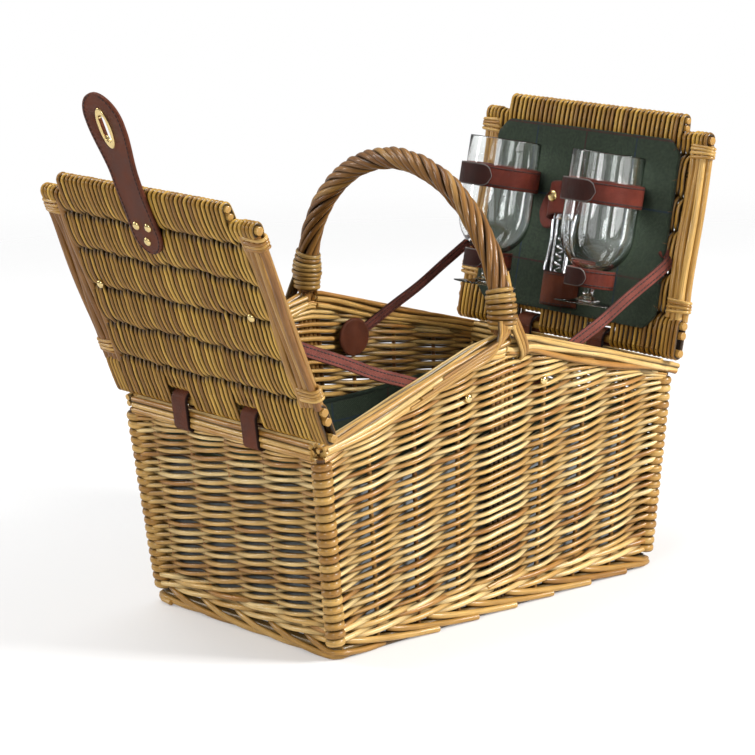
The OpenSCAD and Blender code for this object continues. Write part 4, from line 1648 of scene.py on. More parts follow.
@dataclass
class WovenLid:
    """A lid of paired strands twined over hidden sticks, with rods along its edges."""

    shape: BasketShape
    side: Side
    half: float = 146.0
    tongue: float = 113.5
    inner: float = 124.0
    pair: float = 5.75
    strand_r: float = 2.05
    step_rod: float = 193.0
    tip_rods: tuple[float, float] = (201.6, 208.5)
    valleys: tuple[float, ...] = (34.0, 70.0, 106.0, 142.0, 178.0)
    seed: int = 60

    def __post_init__(self) -> None:
        """Finds the lid's frame and body."""
        self.place = self.shape.lid(self.side)
        self.body = f"{self.side.word}_lid"

    def twine(self, t: Array, shift: Array) -> Array:
        """How far a pair has twisted at a distance from the pivot, in half turns."""
        return sum(smooth(t, v + d - 8.5, v + d + 8.5) for v, d in zip(self.valleys, shift))

    def loop(
        self, maker: MeshMaker, x: float, near: float, end: float, low_r: float, high_r: float
    ) -> None:
        """Adds one pair of strands: a loop round the first rod and the last one.

        Args:
            maker: Where it goes.
            x: The pair's distance from the middle.
            near: Where the first rod lies.
            end: Where the last rod lies.
            low_r: Radius at which it passes round the first rod.
            high_r: Radius at which it passes round the last one.
        """
        arc = np.linspace(-math.pi / 2, math.pi / 2, 9)
        t = np.linspace(near, end, 96)
        bulge = 4.1 + 0.7 * np.cos(2 * math.pi * (t - 16.0) / 36.0)
        level = np.interp(
            t, [near, near + 12, end - 12, end], [low_r - bulge[0], 0, 0, high_r - bulge[-1]]
        ) + bulge
        waves = np.arange(len(self.valleys))
        shift = (
            0.9 * np.sin(x / 23 + 1.9 * waves)
            + 0.5 * np.sin(x / 7.3 + 2.3 * waves)
            + maker.draw.normal(0, 1.0, len(waves))
        )
        half_turns = self.twine(t, shift)
        angle = math.pi * half_turns
        sway = maker.jitter(0.25)
        slide = -2.0 * np.sin(angle)
        shade = float(maker.draw.random())
        cos = np.cos(angle)
        front = xyz(x + slide + sway, t, level * cos)
        back = xyz(x - slide + sway, t, -level * cos)
        sign = 1.0 if round(float(half_turns[-1])) % 2 == 0 else -1.0
        none = np.zeros(9)
        cap_way = xyz(none, np.cos(arc), -sign * np.sin(arc))
        heel_way = xyz(none, -np.cos(arc), np.sin(arc))
        cap = np.array([x + sway, end, 0.0]) + high_r * cap_way
        heel = np.array([x + sway, near, 0.0]) + low_r * heel_way
        path = np.vstack([heel, front[1:-1], cap, back[::-1][1:-1], heel[:1]])
        upward = np.tile([0.0, 0.0, 1.0], (94, 1))
        open_to = np.vstack([heel_way, upward, cap_way, upward, heel_way[:1]])
        away = np.concatenate([np.ones(9), cos[1:-1], np.ones(9), -cos[::-1][1:-1], [1]])
        # Painted shade and thinning: the strands darken and narrow where a pair twists.
        crest = 0.42 + 0.58 * np.abs(cos)
        depth = np.concatenate([np.ones(9), crest[1:-1], np.ones(9), crest[::-1][1:-1], [1]])
        radius = self.strand_r * maker.vary(0.88, 1.04) * (0.62 + 0.38 * depth)
        radius = radius * np.interp(path[:, 1], [near, near + 9], [0.72 if near > 0 else 1.0, 1.0])
        spot, across = self.place.at(path), self.place.turn((1, 0, 0))
        maker.rod(
            spot, radius, across, depth=depth, open_to=self.place.turn(open_to), away=away,
            caps=(False, False), shade=shade
        )

    def strands(self, maker: MeshMaker) -> None:
        """Adds every pair of strands across the lid.

        Args:
            maker: The mesh to add to.
        """
        count = int(2 * self.inner / self.pair)
        for i in range(count):
            x = -self.inner + (i + 0.5) * 2 * self.inner / count
            end = self.tip_rods[1] if abs(x) < self.tongue else self.step_rod
            near, low = (16.5, 3.6) if abs(abs(x) - 47.0) < 12.8 else (0.0, 4.8)
            self.loop(maker, x, near, end, low, 4.2 if abs(x) < self.tongue else 4.8)

    def shoulder_wraps(self, maker: MeshMaker) -> None:
        """Adds the wraps over the ends of the cross rods beyond the weave.

        Args:
            maker: The mesh to add to.
        """
        for sx in (-1, 1):
            for x in np.arange(self.inner + 2.6, self.half - 5, 4.7):
                for low, high, r in ((self.step_rod - 1.5, self.step_rod + 1.0, 4.8), (0.0, 24.9, 4.8)):
                    angle = np.linspace(0, 2 * math.pi, 29)
                    cos = np.cos(angle)
                    reach = (high - low) / 2 * np.minimum(1, 3 * np.abs(cos))
                    t = (low + high) / 2 + np.sign(cos) * reach + r * cos
                    n = r * np.sin(angle)
                    path = xyz(sx * (x + 0 * angle), t, n)
                    way = self.place.turn(xyz(0 * angle, np.cos(angle), np.sin(angle)))
                    maker.rod(self.place.at(path), 2.0, self.place.x, open_to=way, caps=(False, False))

    def rods(self, maker: MeshMaker) -> None:
        """Adds the rods across the lid.

        Args:
            maker: The mesh to add to.
        """
        hidden = [(t, 3.0, self.inner) for t in (52.0, 88.0, 124.0, 160.0)]
        shown = [
            (0.0, 3.5, self.half), (15.7, 3.6, self.half), (24.9, 3.6, self.half),
            (self.step_rod, 3.7, self.half - 1)
        ]
        tips = [(t, 2.9, self.tongue - 0.5) for t in self.tip_rods]
        for t, r, half in hidden + shown + tips:
            x = np.linspace(-half, half, 16)
            bend = 0.25 * np.sin(x / 31 + t)
            path = xyz(x, t + bend, 0 * x)
            # Painted shade: the hidden rods under the strands are darkened (depth 0.1).
            maker.rod(
                self.place.at(path), r, self.place.z, sides=12, depth=0.1 if half == self.inner else 1.0
            )

    def side_rods(self, maker: MeshMaker) -> None:
        """Adds two layers of rods along each side, with a little wander.

        Args:
            maker: The mesh to add to.
        """
        for sx in (-1, 1):
            for k in range(7):
                out, level = 142.2 - 3.1 * k, 2.5 if k % 2 == 0 else -2.5
                t = np.linspace(28.5 + 1.2 * (k % 3), 188.5 - 1.4 * (k % 2), 34)
                wander = maker.vary(0, 6.28)
                spread = smooth(t, 38, 60) * smooth(-t, -186, -164)
                x = sx * (out + 1.3 * spread * np.sin(t / 24 + wander))
                n = level + 0.9 * spread * np.cos(t / 27 + wander * 2)
                radius = maker.vary(2.9, 3.2)
                # Slight painted shade on the edge rods (depth 0.9).
                maker.rod(self.place.at(xyz(x, t, n)), radius, self.place.z, sides=10, depth=0.9)

    def bindings(self, maker: MeshMaker) -> None:
        """Adds the turns that tie the side rods together near each end.

        Args:
            maker: The mesh to add to.
        """
        for sx in (-1, 1):
            for t0 in (37.0, 177.0):
                for k in range(4):
                    angle = np.linspace(0, 2 * math.pi, 33)
                    squared = np.sign(np.cos(angle)) * np.abs(np.cos(angle)) ** 0.55
                    rise = np.sign(np.sin(angle)) * np.abs(np.sin(angle)) ** 0.8
                    x = sx * (135.2 + 12.0 * squared)
                    t = t0 + 3.3 * k + 0.9 * np.cos(angle + k) + maker.jitter(0.2)
                    maker.rod(
                        self.place.at(xyz(x, t, 5.1 * rise)), 1.55, self.place.turn((0, 1, 0)),
                        caps=(False, False)
                    )

    def board(self, finishes: Finishes) -> None:
        """Makes the cloth-covered board inside the lid.

        Args:
            finishes: The materials of the basket.
        """
        half, near, far, cut = 117.0, 16.5, 190.0, 13.0
        outline = np.array([
            (-half + cut, near), (half - cut, near), (half, near + cut), (half, far - cut),
            (half - cut, far), (-half + cut, far), (-half, far - cut), (-half, near + cut),
        ])
        rounded = []
        for i, corner in enumerate(outline):
            before, after = outline[i - 1], outline[(i + 1) % 8]
            a = corner + unit(before - corner) * 4.5
            b = corner + unit(after - corner) * 4.5
            for f in np.linspace(0, 1, 5):
                rounded.append((1 - f) ** 2 * a + 2 * f * (1 - f) * corner + f * f * b)
        edge = np.array(rounded)
        middle = np.array([0.0, (near + far) / 2])
        maker = MeshMaker(self.seed + 7)
        rings: list[Array] = []
        for inset, n in (
            (0.9, -7.4), (0.2, -7.7), (0.0, -8.6), (0.0, -10.2), (0.35, -10.9), (1.1, -11.2), (6.0, -11.35)
        ):
            reach = np.linalg.norm(edge - middle, axis=1, keepdims=True)
            ring = middle + (edge - middle) * (1 - inset / reach)
            rings.append(np.column_stack([ring, np.full(len(ring), n)]))
        for share in (0.75, 0.5, 0.25, 0.02):
            ring = middle + (edge - middle) * share
            rings.append(np.column_stack([ring, np.full(len(ring), -11.35)]))
        local = np.vstack(rings)
        tone = np.tile([0.5, 1.0, 0.0], (len(local), 1))
        first = maker.put(
            self.place.at(local), np.column_stack([local[:, 0] + 64, local[:, 1] + 4, local[:, 2]]), tone
        )
        mirrored = self.side is Side.RIGHT
        maker.grid(first, len(rings), len(edge), wrap=True, flip=mirrored)
        finish_piece(
            maker.mesh(f"{self.side.word}_tweed_board"), self.body, finishes.tweed,
            (f"{self.side.word}_lid_board",)
        )
        self.edge_stitches(edge, finishes)

    def edge_stitches(self, edge: Array, finishes: Finishes) -> None:
        """Makes the pale stitches that hold the board's cloth along its edge.

        Args:
            edge: Points along the board's edge.
            finishes: The materials of the basket.
        """
        maker = MeshMaker(self.seed + 8)
        closed = np.vstack([edge, edge[:1]])
        run = run_along(closed)
        for d in np.arange(6.0, run[-1], 29.0):
            spot = np.array([np.interp(d, run, closed[:, 0]), np.interp(d, run, closed[:, 1])])
            inward = unit(np.array([0.0, 103.0]) - spot)
            steps = ((2.6, -11.3), (0.7, -11.5), (-0.5, -9.8), (-1.2, -7.6))
            knots = [(*(spot + inward * share), n) for share, n in steps]
            # Painted shade on the stitches (depth 0.5).
            maker.rod(
                self.place.at(curve(knots, 8)), 0.22, self.place.turn((0.3, 0.9, 0.2)), sides=6, depth=0.5
            )
        finish_piece(maker.mesh(f"{self.side.word}_board_stitches"), self.body, finishes.stake)

    def build(self, finishes: Finishes) -> None:
        """Makes the lid's pieces.

        Args:
            finishes: The materials of the basket.
        """
        word = self.side.word
        maker = MeshMaker(self.seed)
        self.strands(maker)
        self.shoulder_wraps(maker)
        finish_piece(
            maker.mesh(f"{word}_lid_strands"), self.body, finishes.lid, (f"{word}_lid_weave",)
        )
        maker = MeshMaker(self.seed + 1)
        self.rods(maker)
        finish_piece(
            maker.mesh(f"{word}_lid_rods"), self.body, finishes.binding,
            (f"{word}_lid_cross_rods",)
        )
        maker = MeshMaker(self.seed + 2)
        self.side_rods(maker)
        # Painted shade: the left lid, turned from the key lamp, takes the darker rope willow on its edge
        # rods.
        edge = finishes.rope if self.side is Side.LEFT else finishes.binding
        finish_piece(
            maker.mesh(f"{word}_lid_edge_rods"), self.body, edge, (f"{word}_lid_side_rods",)
        )
        maker = MeshMaker(self.seed + 3)
        self.bindings(maker)
        finish_piece(
            maker.mesh(f"{word}_lid_ties"), self.body, finishes.binding,
            (f"{word}_lid_bindings",)
        )
        self.board(finishes)


@dataclass
class Strip:
    """A leather strip with rounded edges along a path."""

    path: Array
    across: Array
    width: float | Array
    thick: float

    def section(self) -> Array:
        """The section's outline: share of the width, share of the thickness and edge mask.

        Returns:
            One row for each point of the outline.
        """
        top = [
            (-0.5, 0.0, 1), (-0.5, 0.28, 1), (-0.49, 0.42, 1), (-0.465, 0.5, 0.55), (-0.43, 0.52, 0),
            (0, 0.55, 0), (0.43, 0.52, 0)
        ]
        top += [(0.465, 0.5, 0.55), (0.49, 0.42, 1), (0.5, 0.28, 1), (0.5, 0.0, 1)]
        low = [(x, -z, m) for x, z, m in reversed(top[1:-1])]
        return np.array(top + low, float)

    def add(self, maker: MeshMaker) -> None:
        """Adds the strip to a mesh.

        Args:
            maker: The mesh to add to.
        """
        n = len(self.path)
        section = self.section()
        across = unit(np.broadcast_to(self.across, (n, 3)))
        tangent = unit(np.gradient(self.path, axis=0))
        normal = unit(np.cross(tangent, across))
        width = np.broadcast_to(np.asarray(self.width, float), (n,))
        thick = np.minimum(self.thick, width)
        points = (
            self.path[:, None]
            + (width[:, None] * section[:, 0])[..., None] * across[:, None]
            + (thick[:, None] * section[:, 1])[..., None] * normal[:, None]
        )
        along = run_along(self.path)
        m = len(section)
        grain = np.empty((n, m, 3))
        grain[..., 0] = along[:, None]
        grain[..., 1] = width[:, None] * section[:, 0]
        grain[..., 2] = section[:, 1]
        tone = np.empty((n, m, 3))
        tone[..., 0], tone[..., 1], tone[..., 2] = 0.5, 1.0, section[:, 2]
        first = maker.put(points.reshape(-1, 3), grain.reshape(-1, 3), tone.reshape(-1, 3))
        maker.grid(first, n, m, wrap=True, flip=True)
        for row, way in ((0, -1), (n - 1, 1)):
            k = np.arange(m)
            at = maker.put(
                np.vstack([points[row], self.path[row][None]]),
                np.vstack([grain[row], grain[row][:1]]),
                np.tile([0.5, 1.0, 1.0], (m + 1, 1)),
            )
            fan = xyz(at + m, at + k, at + (k + 1) % m)
            maker.tris.append(fan if way > 0 else fan[:, ::-1])

    def stitches(
        self, maker: MeshMaker, inset: float, both_faces: bool = False, step: float = 4.2,
        size: float = 0.55
    ) -> None:
        """Adds a row of stitches along each edge.

        Args:
            maker: Where they go.
            inset: Distance of the rows from the strip's edges.
            both_faces: Whether the under face has them too.
            step: Distance from stitch to stitch.
            size: Radius of the thread.
        """
        n = len(self.path)
        across = unit(np.broadcast_to(self.across, (n, 3)))
        tangent = unit(np.gradient(self.path, axis=0))
        normal = unit(np.cross(tangent, across))
        width = np.broadcast_to(np.asarray(self.width, float), (n,))
        for sign in (-1, 1):
            for face in (1, -1) if both_faces else (1,):
                line = self.path + sign * np.maximum(width / 2 - inset, 0)[:, None] * across
                line = line + face * (self.thick * 0.53 + 0.05) * normal
                run = run_along(line)
                for d in np.arange(step, run[-1] - step, step):
                    spots = d + np.array([-0.36, -0.2, 0.0, 0.2, 0.36]) * step
                    bit = np.stack([np.interp(spots, run, line[:, i]) for i in range(3)], -1)
                    k = int(np.clip(np.searchsorted(run, d), 0, n - 1))
                    sink = np.array([-0.25, 0.02, 0.08, 0.02, -0.25])[:, None] * face * normal[k]
                    maker.rod(bit + sink, size, normal[k], sides=5, caps=(False, False))


def dome(place: Place, at: Sequence[float], r: float, h: float, maker: MeshMaker) -> None:
    """Adds a domed rivet head.

    Args:
        place: The frame that it stands in.
        at: Its foot in that frame.
        r: Its radius.
        h: Its height.
        maker: Where it goes.
    """
    spot = Place(tuple(place.at(at)), place.x, place.y, place.z)
    angle = np.linspace(0, math.pi / 2, 8)
    profile = [(r * 0.9, -0.4), (r, 0.0), (r, 0.25)] + [
        (max(r * math.cos(a), 0.01), 0.25 + (h - 0.25) * math.sin(a)) for a in angle[1:]
    ]
    maker.lathe(spot, profile, sides=24)


@dataclass
class LeatherHinges:
    """The loops that the lids turn in."""

    shape: BasketShape
    spot_y: float = 47.0
    width: float = 20.0
    thick: float = 3.0

    def build(self, finishes: Finishes) -> None:
        """Makes the loops of both ends.

        Args:
            finishes: The materials of the basket.
        """
        for side in Side:
            maker = MeshMaker(81)
            k = side.value
            lean = self.shape.end_lean
            radius = self.shape.lid_r + 0.3 + self.thick / 2
            low = 24.8
            knots: list[tuple[float, float]] = []
            for a in np.linspace(math.pi, 0, 13):
                knots.append((radius * math.cos(a), radius * math.sin(a)))
            knots += [(radius, -8.0), (radius, -16.0), (radius, -low + 3.5)]
            for a in np.linspace(0, -math.pi / 2, 6):
                knots.append((radius - 3.5 + 3.5 * math.cos(a), -low + 3.5 + 3.5 * math.sin(a)))
            knots += [(0.0, -low)]
            for a in np.linspace(-math.pi / 2, -math.pi, 6):
                knots.append((-radius + 3.5 + 3.5 * math.cos(a), -low + 3.5 + 3.5 * math.sin(a)))
            knots += [(-radius, -16.0), (-radius, -8.0), (-radius, 0.0)]
            loop = np.array(knots)
            for sy in (-1, 1):
                out = loop[:, 0] + loop[:, 1] * math.tan(lean)
                path = np.stack(
                    [
                        k * (self.shape.pivot_x + out), np.full(len(loop), sy * self.spot_y),
                        self.shape.hinge_h + loop[:, 1]
                    ], -1
                )
                Strip(path[:: -k], np.array([0, -1.0, 0]), self.width, self.thick).add(maker)
            finish_piece(
                maker.mesh(f"{side.word}_leather_hinges", sharp=50), "basket", finishes.leather,
                (f"{side.word}_hinge_loops",)
            )


@dataclass
class Stays:
    """The leather stays from the long walls to the lids, their patches and their rivets."""

    shape: BasketShape
    wall_x: float = 45.0
    wall_z: float = 203.0
    width: float = 11.0
    thick: float = 2.1
    reach: float = 80.0

    def build(self, finishes: Finishes) -> None:
        """Makes four stays, four patches and eight rivets.

        Args:
            finishes: The materials of the basket.
        """
        patches, rivets = MeshMaker(90), MeshMaker(91)
        for face in Face:
            for side in Side:
                self.stay(face, side, finishes)
                self.patch(face, side, patches)
                wall = self.shape.long_wall(face)
                x = self.wall_x * side.value * wall.x[0]
                dome(wall, (x, self.wall_z / math.cos(self.shape.side_lean), 6.4), 4.0, 2.7, rivets)
        finish_piece(
            patches.mesh("stay_leather_patches", sharp=40), "basket", finishes.leather,
            ("stay_patches",)
        )
        finish_piece(
            rivets.mesh("wall_rivet_heads"), "basket", finishes.brass, ("stay_wall_rivets",)
        )
        for side in Side:
            maker = MeshMaker(92)
            lid = self.shape.lid(side)
            for sx in (-1, 1):
                dome(lid, (sx * 102.0, 111.0, 6.8), 4.0, 2.6, maker)
            name = f"{side.word}_lid_rivet_heads"
            finish_piece(
                maker.mesh(name), f"{side.word}_lid", finishes.brass, (f"{side.word}_stay_rivets",)
            )

    def patch(self, face: Face, side: Side, maker: MeshMaker) -> None:
        """Adds the round patch that covers a stay's lower end.

        Args:
            face: The front or the back.
            side: The left or the right end.
            maker: The mesh to add to.
        """
        wall = self.shape.long_wall(face)
        x = self.wall_x * side.value * wall.x[0]
        height = self.wall_z / math.cos(self.shape.side_lean)
        z = opposite(wall.z)
        spot = Place(tuple(wall.at((x, height, -9.7))), wall.x, opposite(wall.y), z)
        profile = [
            (17.6, -1.0), (18.0, -0.4), (18.0, 0.4), (17.5, 1.2), (16.0, 1.75), (13.5, 1.5), (9.0, 2.1),
            (4.5, 2.6), (0.01, 2.7)
        ]
        maker.lathe(spot, profile, sides=40)

    def stay(self, face: Face, side: Side, finishes: Finishes) -> None:
        """Makes one stay, which runs between the basket and its lid.

        Args:
            face: The front or the back.
            side: The left or the right end.
            finishes: The materials of the basket.
        """
        sy, k = face.value, side.value
        lid = self.shape.lid(side)
        height = self.wall_z
        start = np.array([k * self.wall_x, sy * (self.shape.post_y(height) - 8.6), height])
        edge = lid.at((-sy * 122.0, self.reach, -8.2))
        end = lid.at((-sy * 113.0, self.reach + 9.0, -9.2))
        lead = start - np.array([k * 4.0, 0, 0])
        middle = (start + edge) / 2 - np.array([0, 0, 3.0])
        third, far_third = (start * (1 - f) + edge * f - [0, 0, 1.5] for f in (0.3, 0.7))
        path = curve([lead, start, third, middle, far_third, edge, end], 56)
        twist = np.linspace(0, 1, len(path))[:, None]
        tangent = unit(np.gradient(path, axis=0))
        outward = np.array([0, sy * 1.0, 0.0])
        flat = unit(np.cross(tangent, outward + 0.25 * np.sin(twist * math.pi) * np.array([0, 0, 1.0])))
        strip = Strip(path, flat, self.width, self.thick)
        maker = MeshMaker(95)
        strip.add(maker)
        name = f"{side.word}_{face.word}_stay"
        piece = maker.mesh(name, sharp=50)
        threads = MeshMaker(96)
        strip.stitches(threads, 2.9, both_faces=True)
        seam = threads.mesh(f"{name}_stitches")
        bodies, span = ("basket", f"{side.word}_lid"), (tuple(start * MM), tuple(edge * MM))
        bend_piece(piece, bodies, finishes.stay, (f"{side.word}_stay_{face.word}",))
        bend_piece(seam, bodies, finishes.thread)


@dataclass
class Closure:
    """The paddle-shaped strap on the left lid, its slot plate, its rivets and the turn-lock."""

    shape: BasketShape
    start: float = 157.0
    waist: float = 36.5
    lower: float = 39.0
    head: float = 51.0
    end: float = 305.0
    slot: float = 273.9
    flex: float = 217.9
    level: float = 8.7
    thick: float = 2.9
    slot_len: float = 26.0
    slot_wid: float = 9.0
    lock: float = 161.95

    def outline(self, t: Array) -> Array:
        """Width of the strap at a distance from the pivot.

        Args:
            t: Distance from the pivot in millimetres.

        Returns:
            Width at each distance, in millimetres.
        """
        body = self.lower + (self.waist - self.lower) * smooth(t, self.start + 10, self.start + 52)
        body = body + (self.head - self.waist) * smooth(t, 228.0, 275.0)
        low = np.clip((t - self.start) / (self.lower / 2), 0, 1)
        high = np.clip((self.end - t) / (self.head / 2), 0, 1)
        return body * np.sqrt(np.clip(1 - (1 - low) ** 2, 0, 1)) * np.sqrt(
            np.clip(1 - (1 - high) ** 2, 0, 1)
        )

    def build(self, finishes: Finishes) -> None:
        """Makes the strap, its stitches, the brass and the turn-lock.

        Args:
            finishes: The materials of the basket.
        """
        lid = self.shape.lid(Side.LEFT)
        ease = (1 - np.cos(np.linspace(0, math.pi, 90))) / 2
        t = self.start + 0.15 + (self.end - self.start - 0.3) * (0.55 * ease + 0.45 * np.linspace(0, 1, 90))
        lift = 0.5 * np.exp(-((t - 214) / 14) ** 2)
        path = lid.at(xyz(0 * t, t, self.level + lift))
        strip = Strip(path, lid.turn((-1, 0, 0)), self.outline(t), self.thick)
        maker = MeshMaker(101)
        strip.add(maker)
        piece = maker.mesh("closure_paddle", sharp=50)
        self.cut_slot(piece, lid)
        threads = MeshMaker(102)
        strip.stitches(threads, 3.2, both_faces=True, size=0.5)
        seam = threads.mesh("closure_stitches")
        span = tuple(lid.metres((0, self.flex + way * 11, 7.3)) for way in (-1, 1))
        bend_piece(piece, ("left_lid", "flap"), finishes.leather, ("closure_strap", "closure_flap"))
        bend_piece(seam, ("left_lid", "flap"), finishes.thread)
        maker = MeshMaker(103)
        self.oval_plate(
            maker, lid, self.slot, self.level + self.thick / 2, 37.0, 16.5, self.slot_len - 2.5,
            self.slot_wid + 0.4
        )
        finish_piece(
            maker.mesh("slot_plate_brass", sharp=50), "flap", finishes.brass,
            ("closure_slot_plate",)
        )
        maker = MeshMaker(104)
        for x, along in ((-8, 183), (8, 183), (0, 169)):
            dome(lid, (x, along, self.level + self.thick / 2), 4.0, 2.4, maker)
        finish_piece(
            maker.mesh("closure_rivet_heads"), "left_lid", finishes.brass, ("closure_rivets",)
        )
        self.turnlock(finishes)

    def cut_slot(self, piece: bpy.types.Object, lid: Place) -> None:
        """Cuts the slot through the strap's head.

        Args:
            piece: The piece to cut.
            lid: The lid's frame.
        """
        cutter = MeshMaker(105)
        straight = (self.slot_len - self.slot_wid) / 2
        ring = []
        for sy in (1, -1):
            for a in np.linspace(0, math.pi, 9):
                ring.append(
                    (
                        self.slot_wid / 2 * math.cos(a) * sy,
                        self.slot + sy * (straight + self.slot_wid / 2 * math.sin(a))
                    )
                )
        ring = np.array(ring)
        layers = [np.column_stack([ring, np.full(len(ring), n)]) for n in (self.level - 6, self.level + 6)]
        local = np.vstack(layers + [[[0, self.slot, self.level - 6]], [[0, self.slot, self.level + 6]]])
        m = len(ring)
        first = cutter.put(lid.at(local), local, np.tile([0.5, 1.0, 1.0], (len(local), 1)))
        cutter.grid(first, 2, m, wrap=True, flip=True)
        k = np.arange(m)
        cutter.tris.append(xyz(np.full(m, 2 * m), (k + 1) % m, k))
        cutter.tris.append(xyz(np.full(m, 2 * m + 1), m + k, m + (k + 1) % m))
        tool = cutter.mesh("slot_cutter")
        cut = piece.modifiers.new("slot", "BOOLEAN")
        cut.operation, cut.object, cut.solver = "DIFFERENCE", tool, "EXACT"
        done = bpy.data.meshes.new_from_object(piece.evaluated_get(bpy.context.evaluated_depsgraph_get()))
        piece.modifiers.clear()
        piece.data = done
        bpy.data.objects.remove(tool)

    def oval_plate(
        self, maker: MeshMaker, lid: Place, t: float, level: float, length: float, width: float,
        hole_len: float, hole_wid: float
    ) -> None:
        """Adds an oval brass frame round a slot.

        Args:
            maker: Where it goes.
            lid: The lid's frame.
            t: Distance from the pivot to its middle.
            level: Height of its foot.
            length: Its length.
            width: Its width.
            hole_len: Length of the slot.
            hole_wid: Width of the slot.
        """
        a = np.linspace(0, 2 * math.pi, 64, endpoint=False)
        outer = np.column_stack([width / 2 * np.cos(a), length / 2 * np.sin(a)])
        straight = (hole_len - hole_wid) / 2
        inner = np.column_stack(
            [
                hole_wid / 2 * np.cos(a),
                straight * np.clip(3.2 * np.sin(a), -1, 1) + hole_wid / 2 * np.sin(a)
            ]
        )
        rows = []
        for share, height in (
            (0, -0.2), (0, 0.5), (0.06, 0.9), (0.22, 1.1), (0.5, 0.85), (0.78, 1.1), (0.94, 0.9), (1, 0.5),
            (1, -2.6)
        ):
            ring = outer * (1 - share) + inner * share
            rows.append(np.column_stack([ring[:, 0], ring[:, 1] + t, np.full(64, level + height)]))
        local = np.vstack(rows)
        first = maker.put(lid.at(local), local, np.tile([0.5, 1.0, 0.0], (len(local), 1)))
        mirrored = np.linalg.det(np.array([lid.x, lid.y, lid.z])) < 0
        maker.grid(first, len(rows), 64, wrap=True, flip=not mirrored)

    def turnlock(self, finishes: Finishes) -> None:
        """Makes the turn-lock on the right lid.

        Args:
            finishes: The materials of the basket.
        """
        lid = self.shape.lid(Side.RIGHT)
        maker = MeshMaker(106)
        spot = Place(tuple(lid.at((0, self.lock, 6.9))), lid.x, lid.y, lid.z)
        profile = [
            (7.9, -0.6), (8.2, 0.0), (8.2, 0.5), (7.7, 0.9), (6.5, 1.0), (4.0, 1.05), (3.2, 1.6),
            (2.9, 2.3), (1.7, 2.4), (0.01, 2.4)
        ]
        maker.lathe(spot, profile, sides=48, oval=2.0)
        for sy in (-1, 1):
            dome(lid, (0, self.lock + sy * 12.0, 7.9), 1.7, 0.8, maker)
        finish_piece(
            maker.mesh("turnlock_foot_plate", sharp=40), "right_lid", finishes.brass,
            ("turnlock_base",)
        )
        maker = MeshMaker(107)
        stem = Place(tuple(lid.at((0, self.lock, 7.5))), lid.x, lid.y, lid.z)
        maker.lathe(stem, [(1.35, 0), (1.35, 5.2), (1.9, 5.8), (1.9, 6.4)], sides=20)
        ends = [
            (-10.0, 0.5), (-9.4, 1.35), (-8.0, 1.95), (-4.0, 2.1), (0.0, 2.2), (4.0, 2.1), (8.0, 1.95),
            (9.4, 1.35), (10.0, 0.5)
        ]
        path = np.array([(0.0, self.lock + y, 15.7) for y, _ in ends])
        maker.rod(lid.at(path), np.array([r for _, r in ends]), lid.z, sides=16, flat=0.66)
        finish_piece(
            maker.mesh("turnlock_thumb_bar", sharp=50), "lock_bar", finishes.brass,
            ("turnlock_bar",)
        )


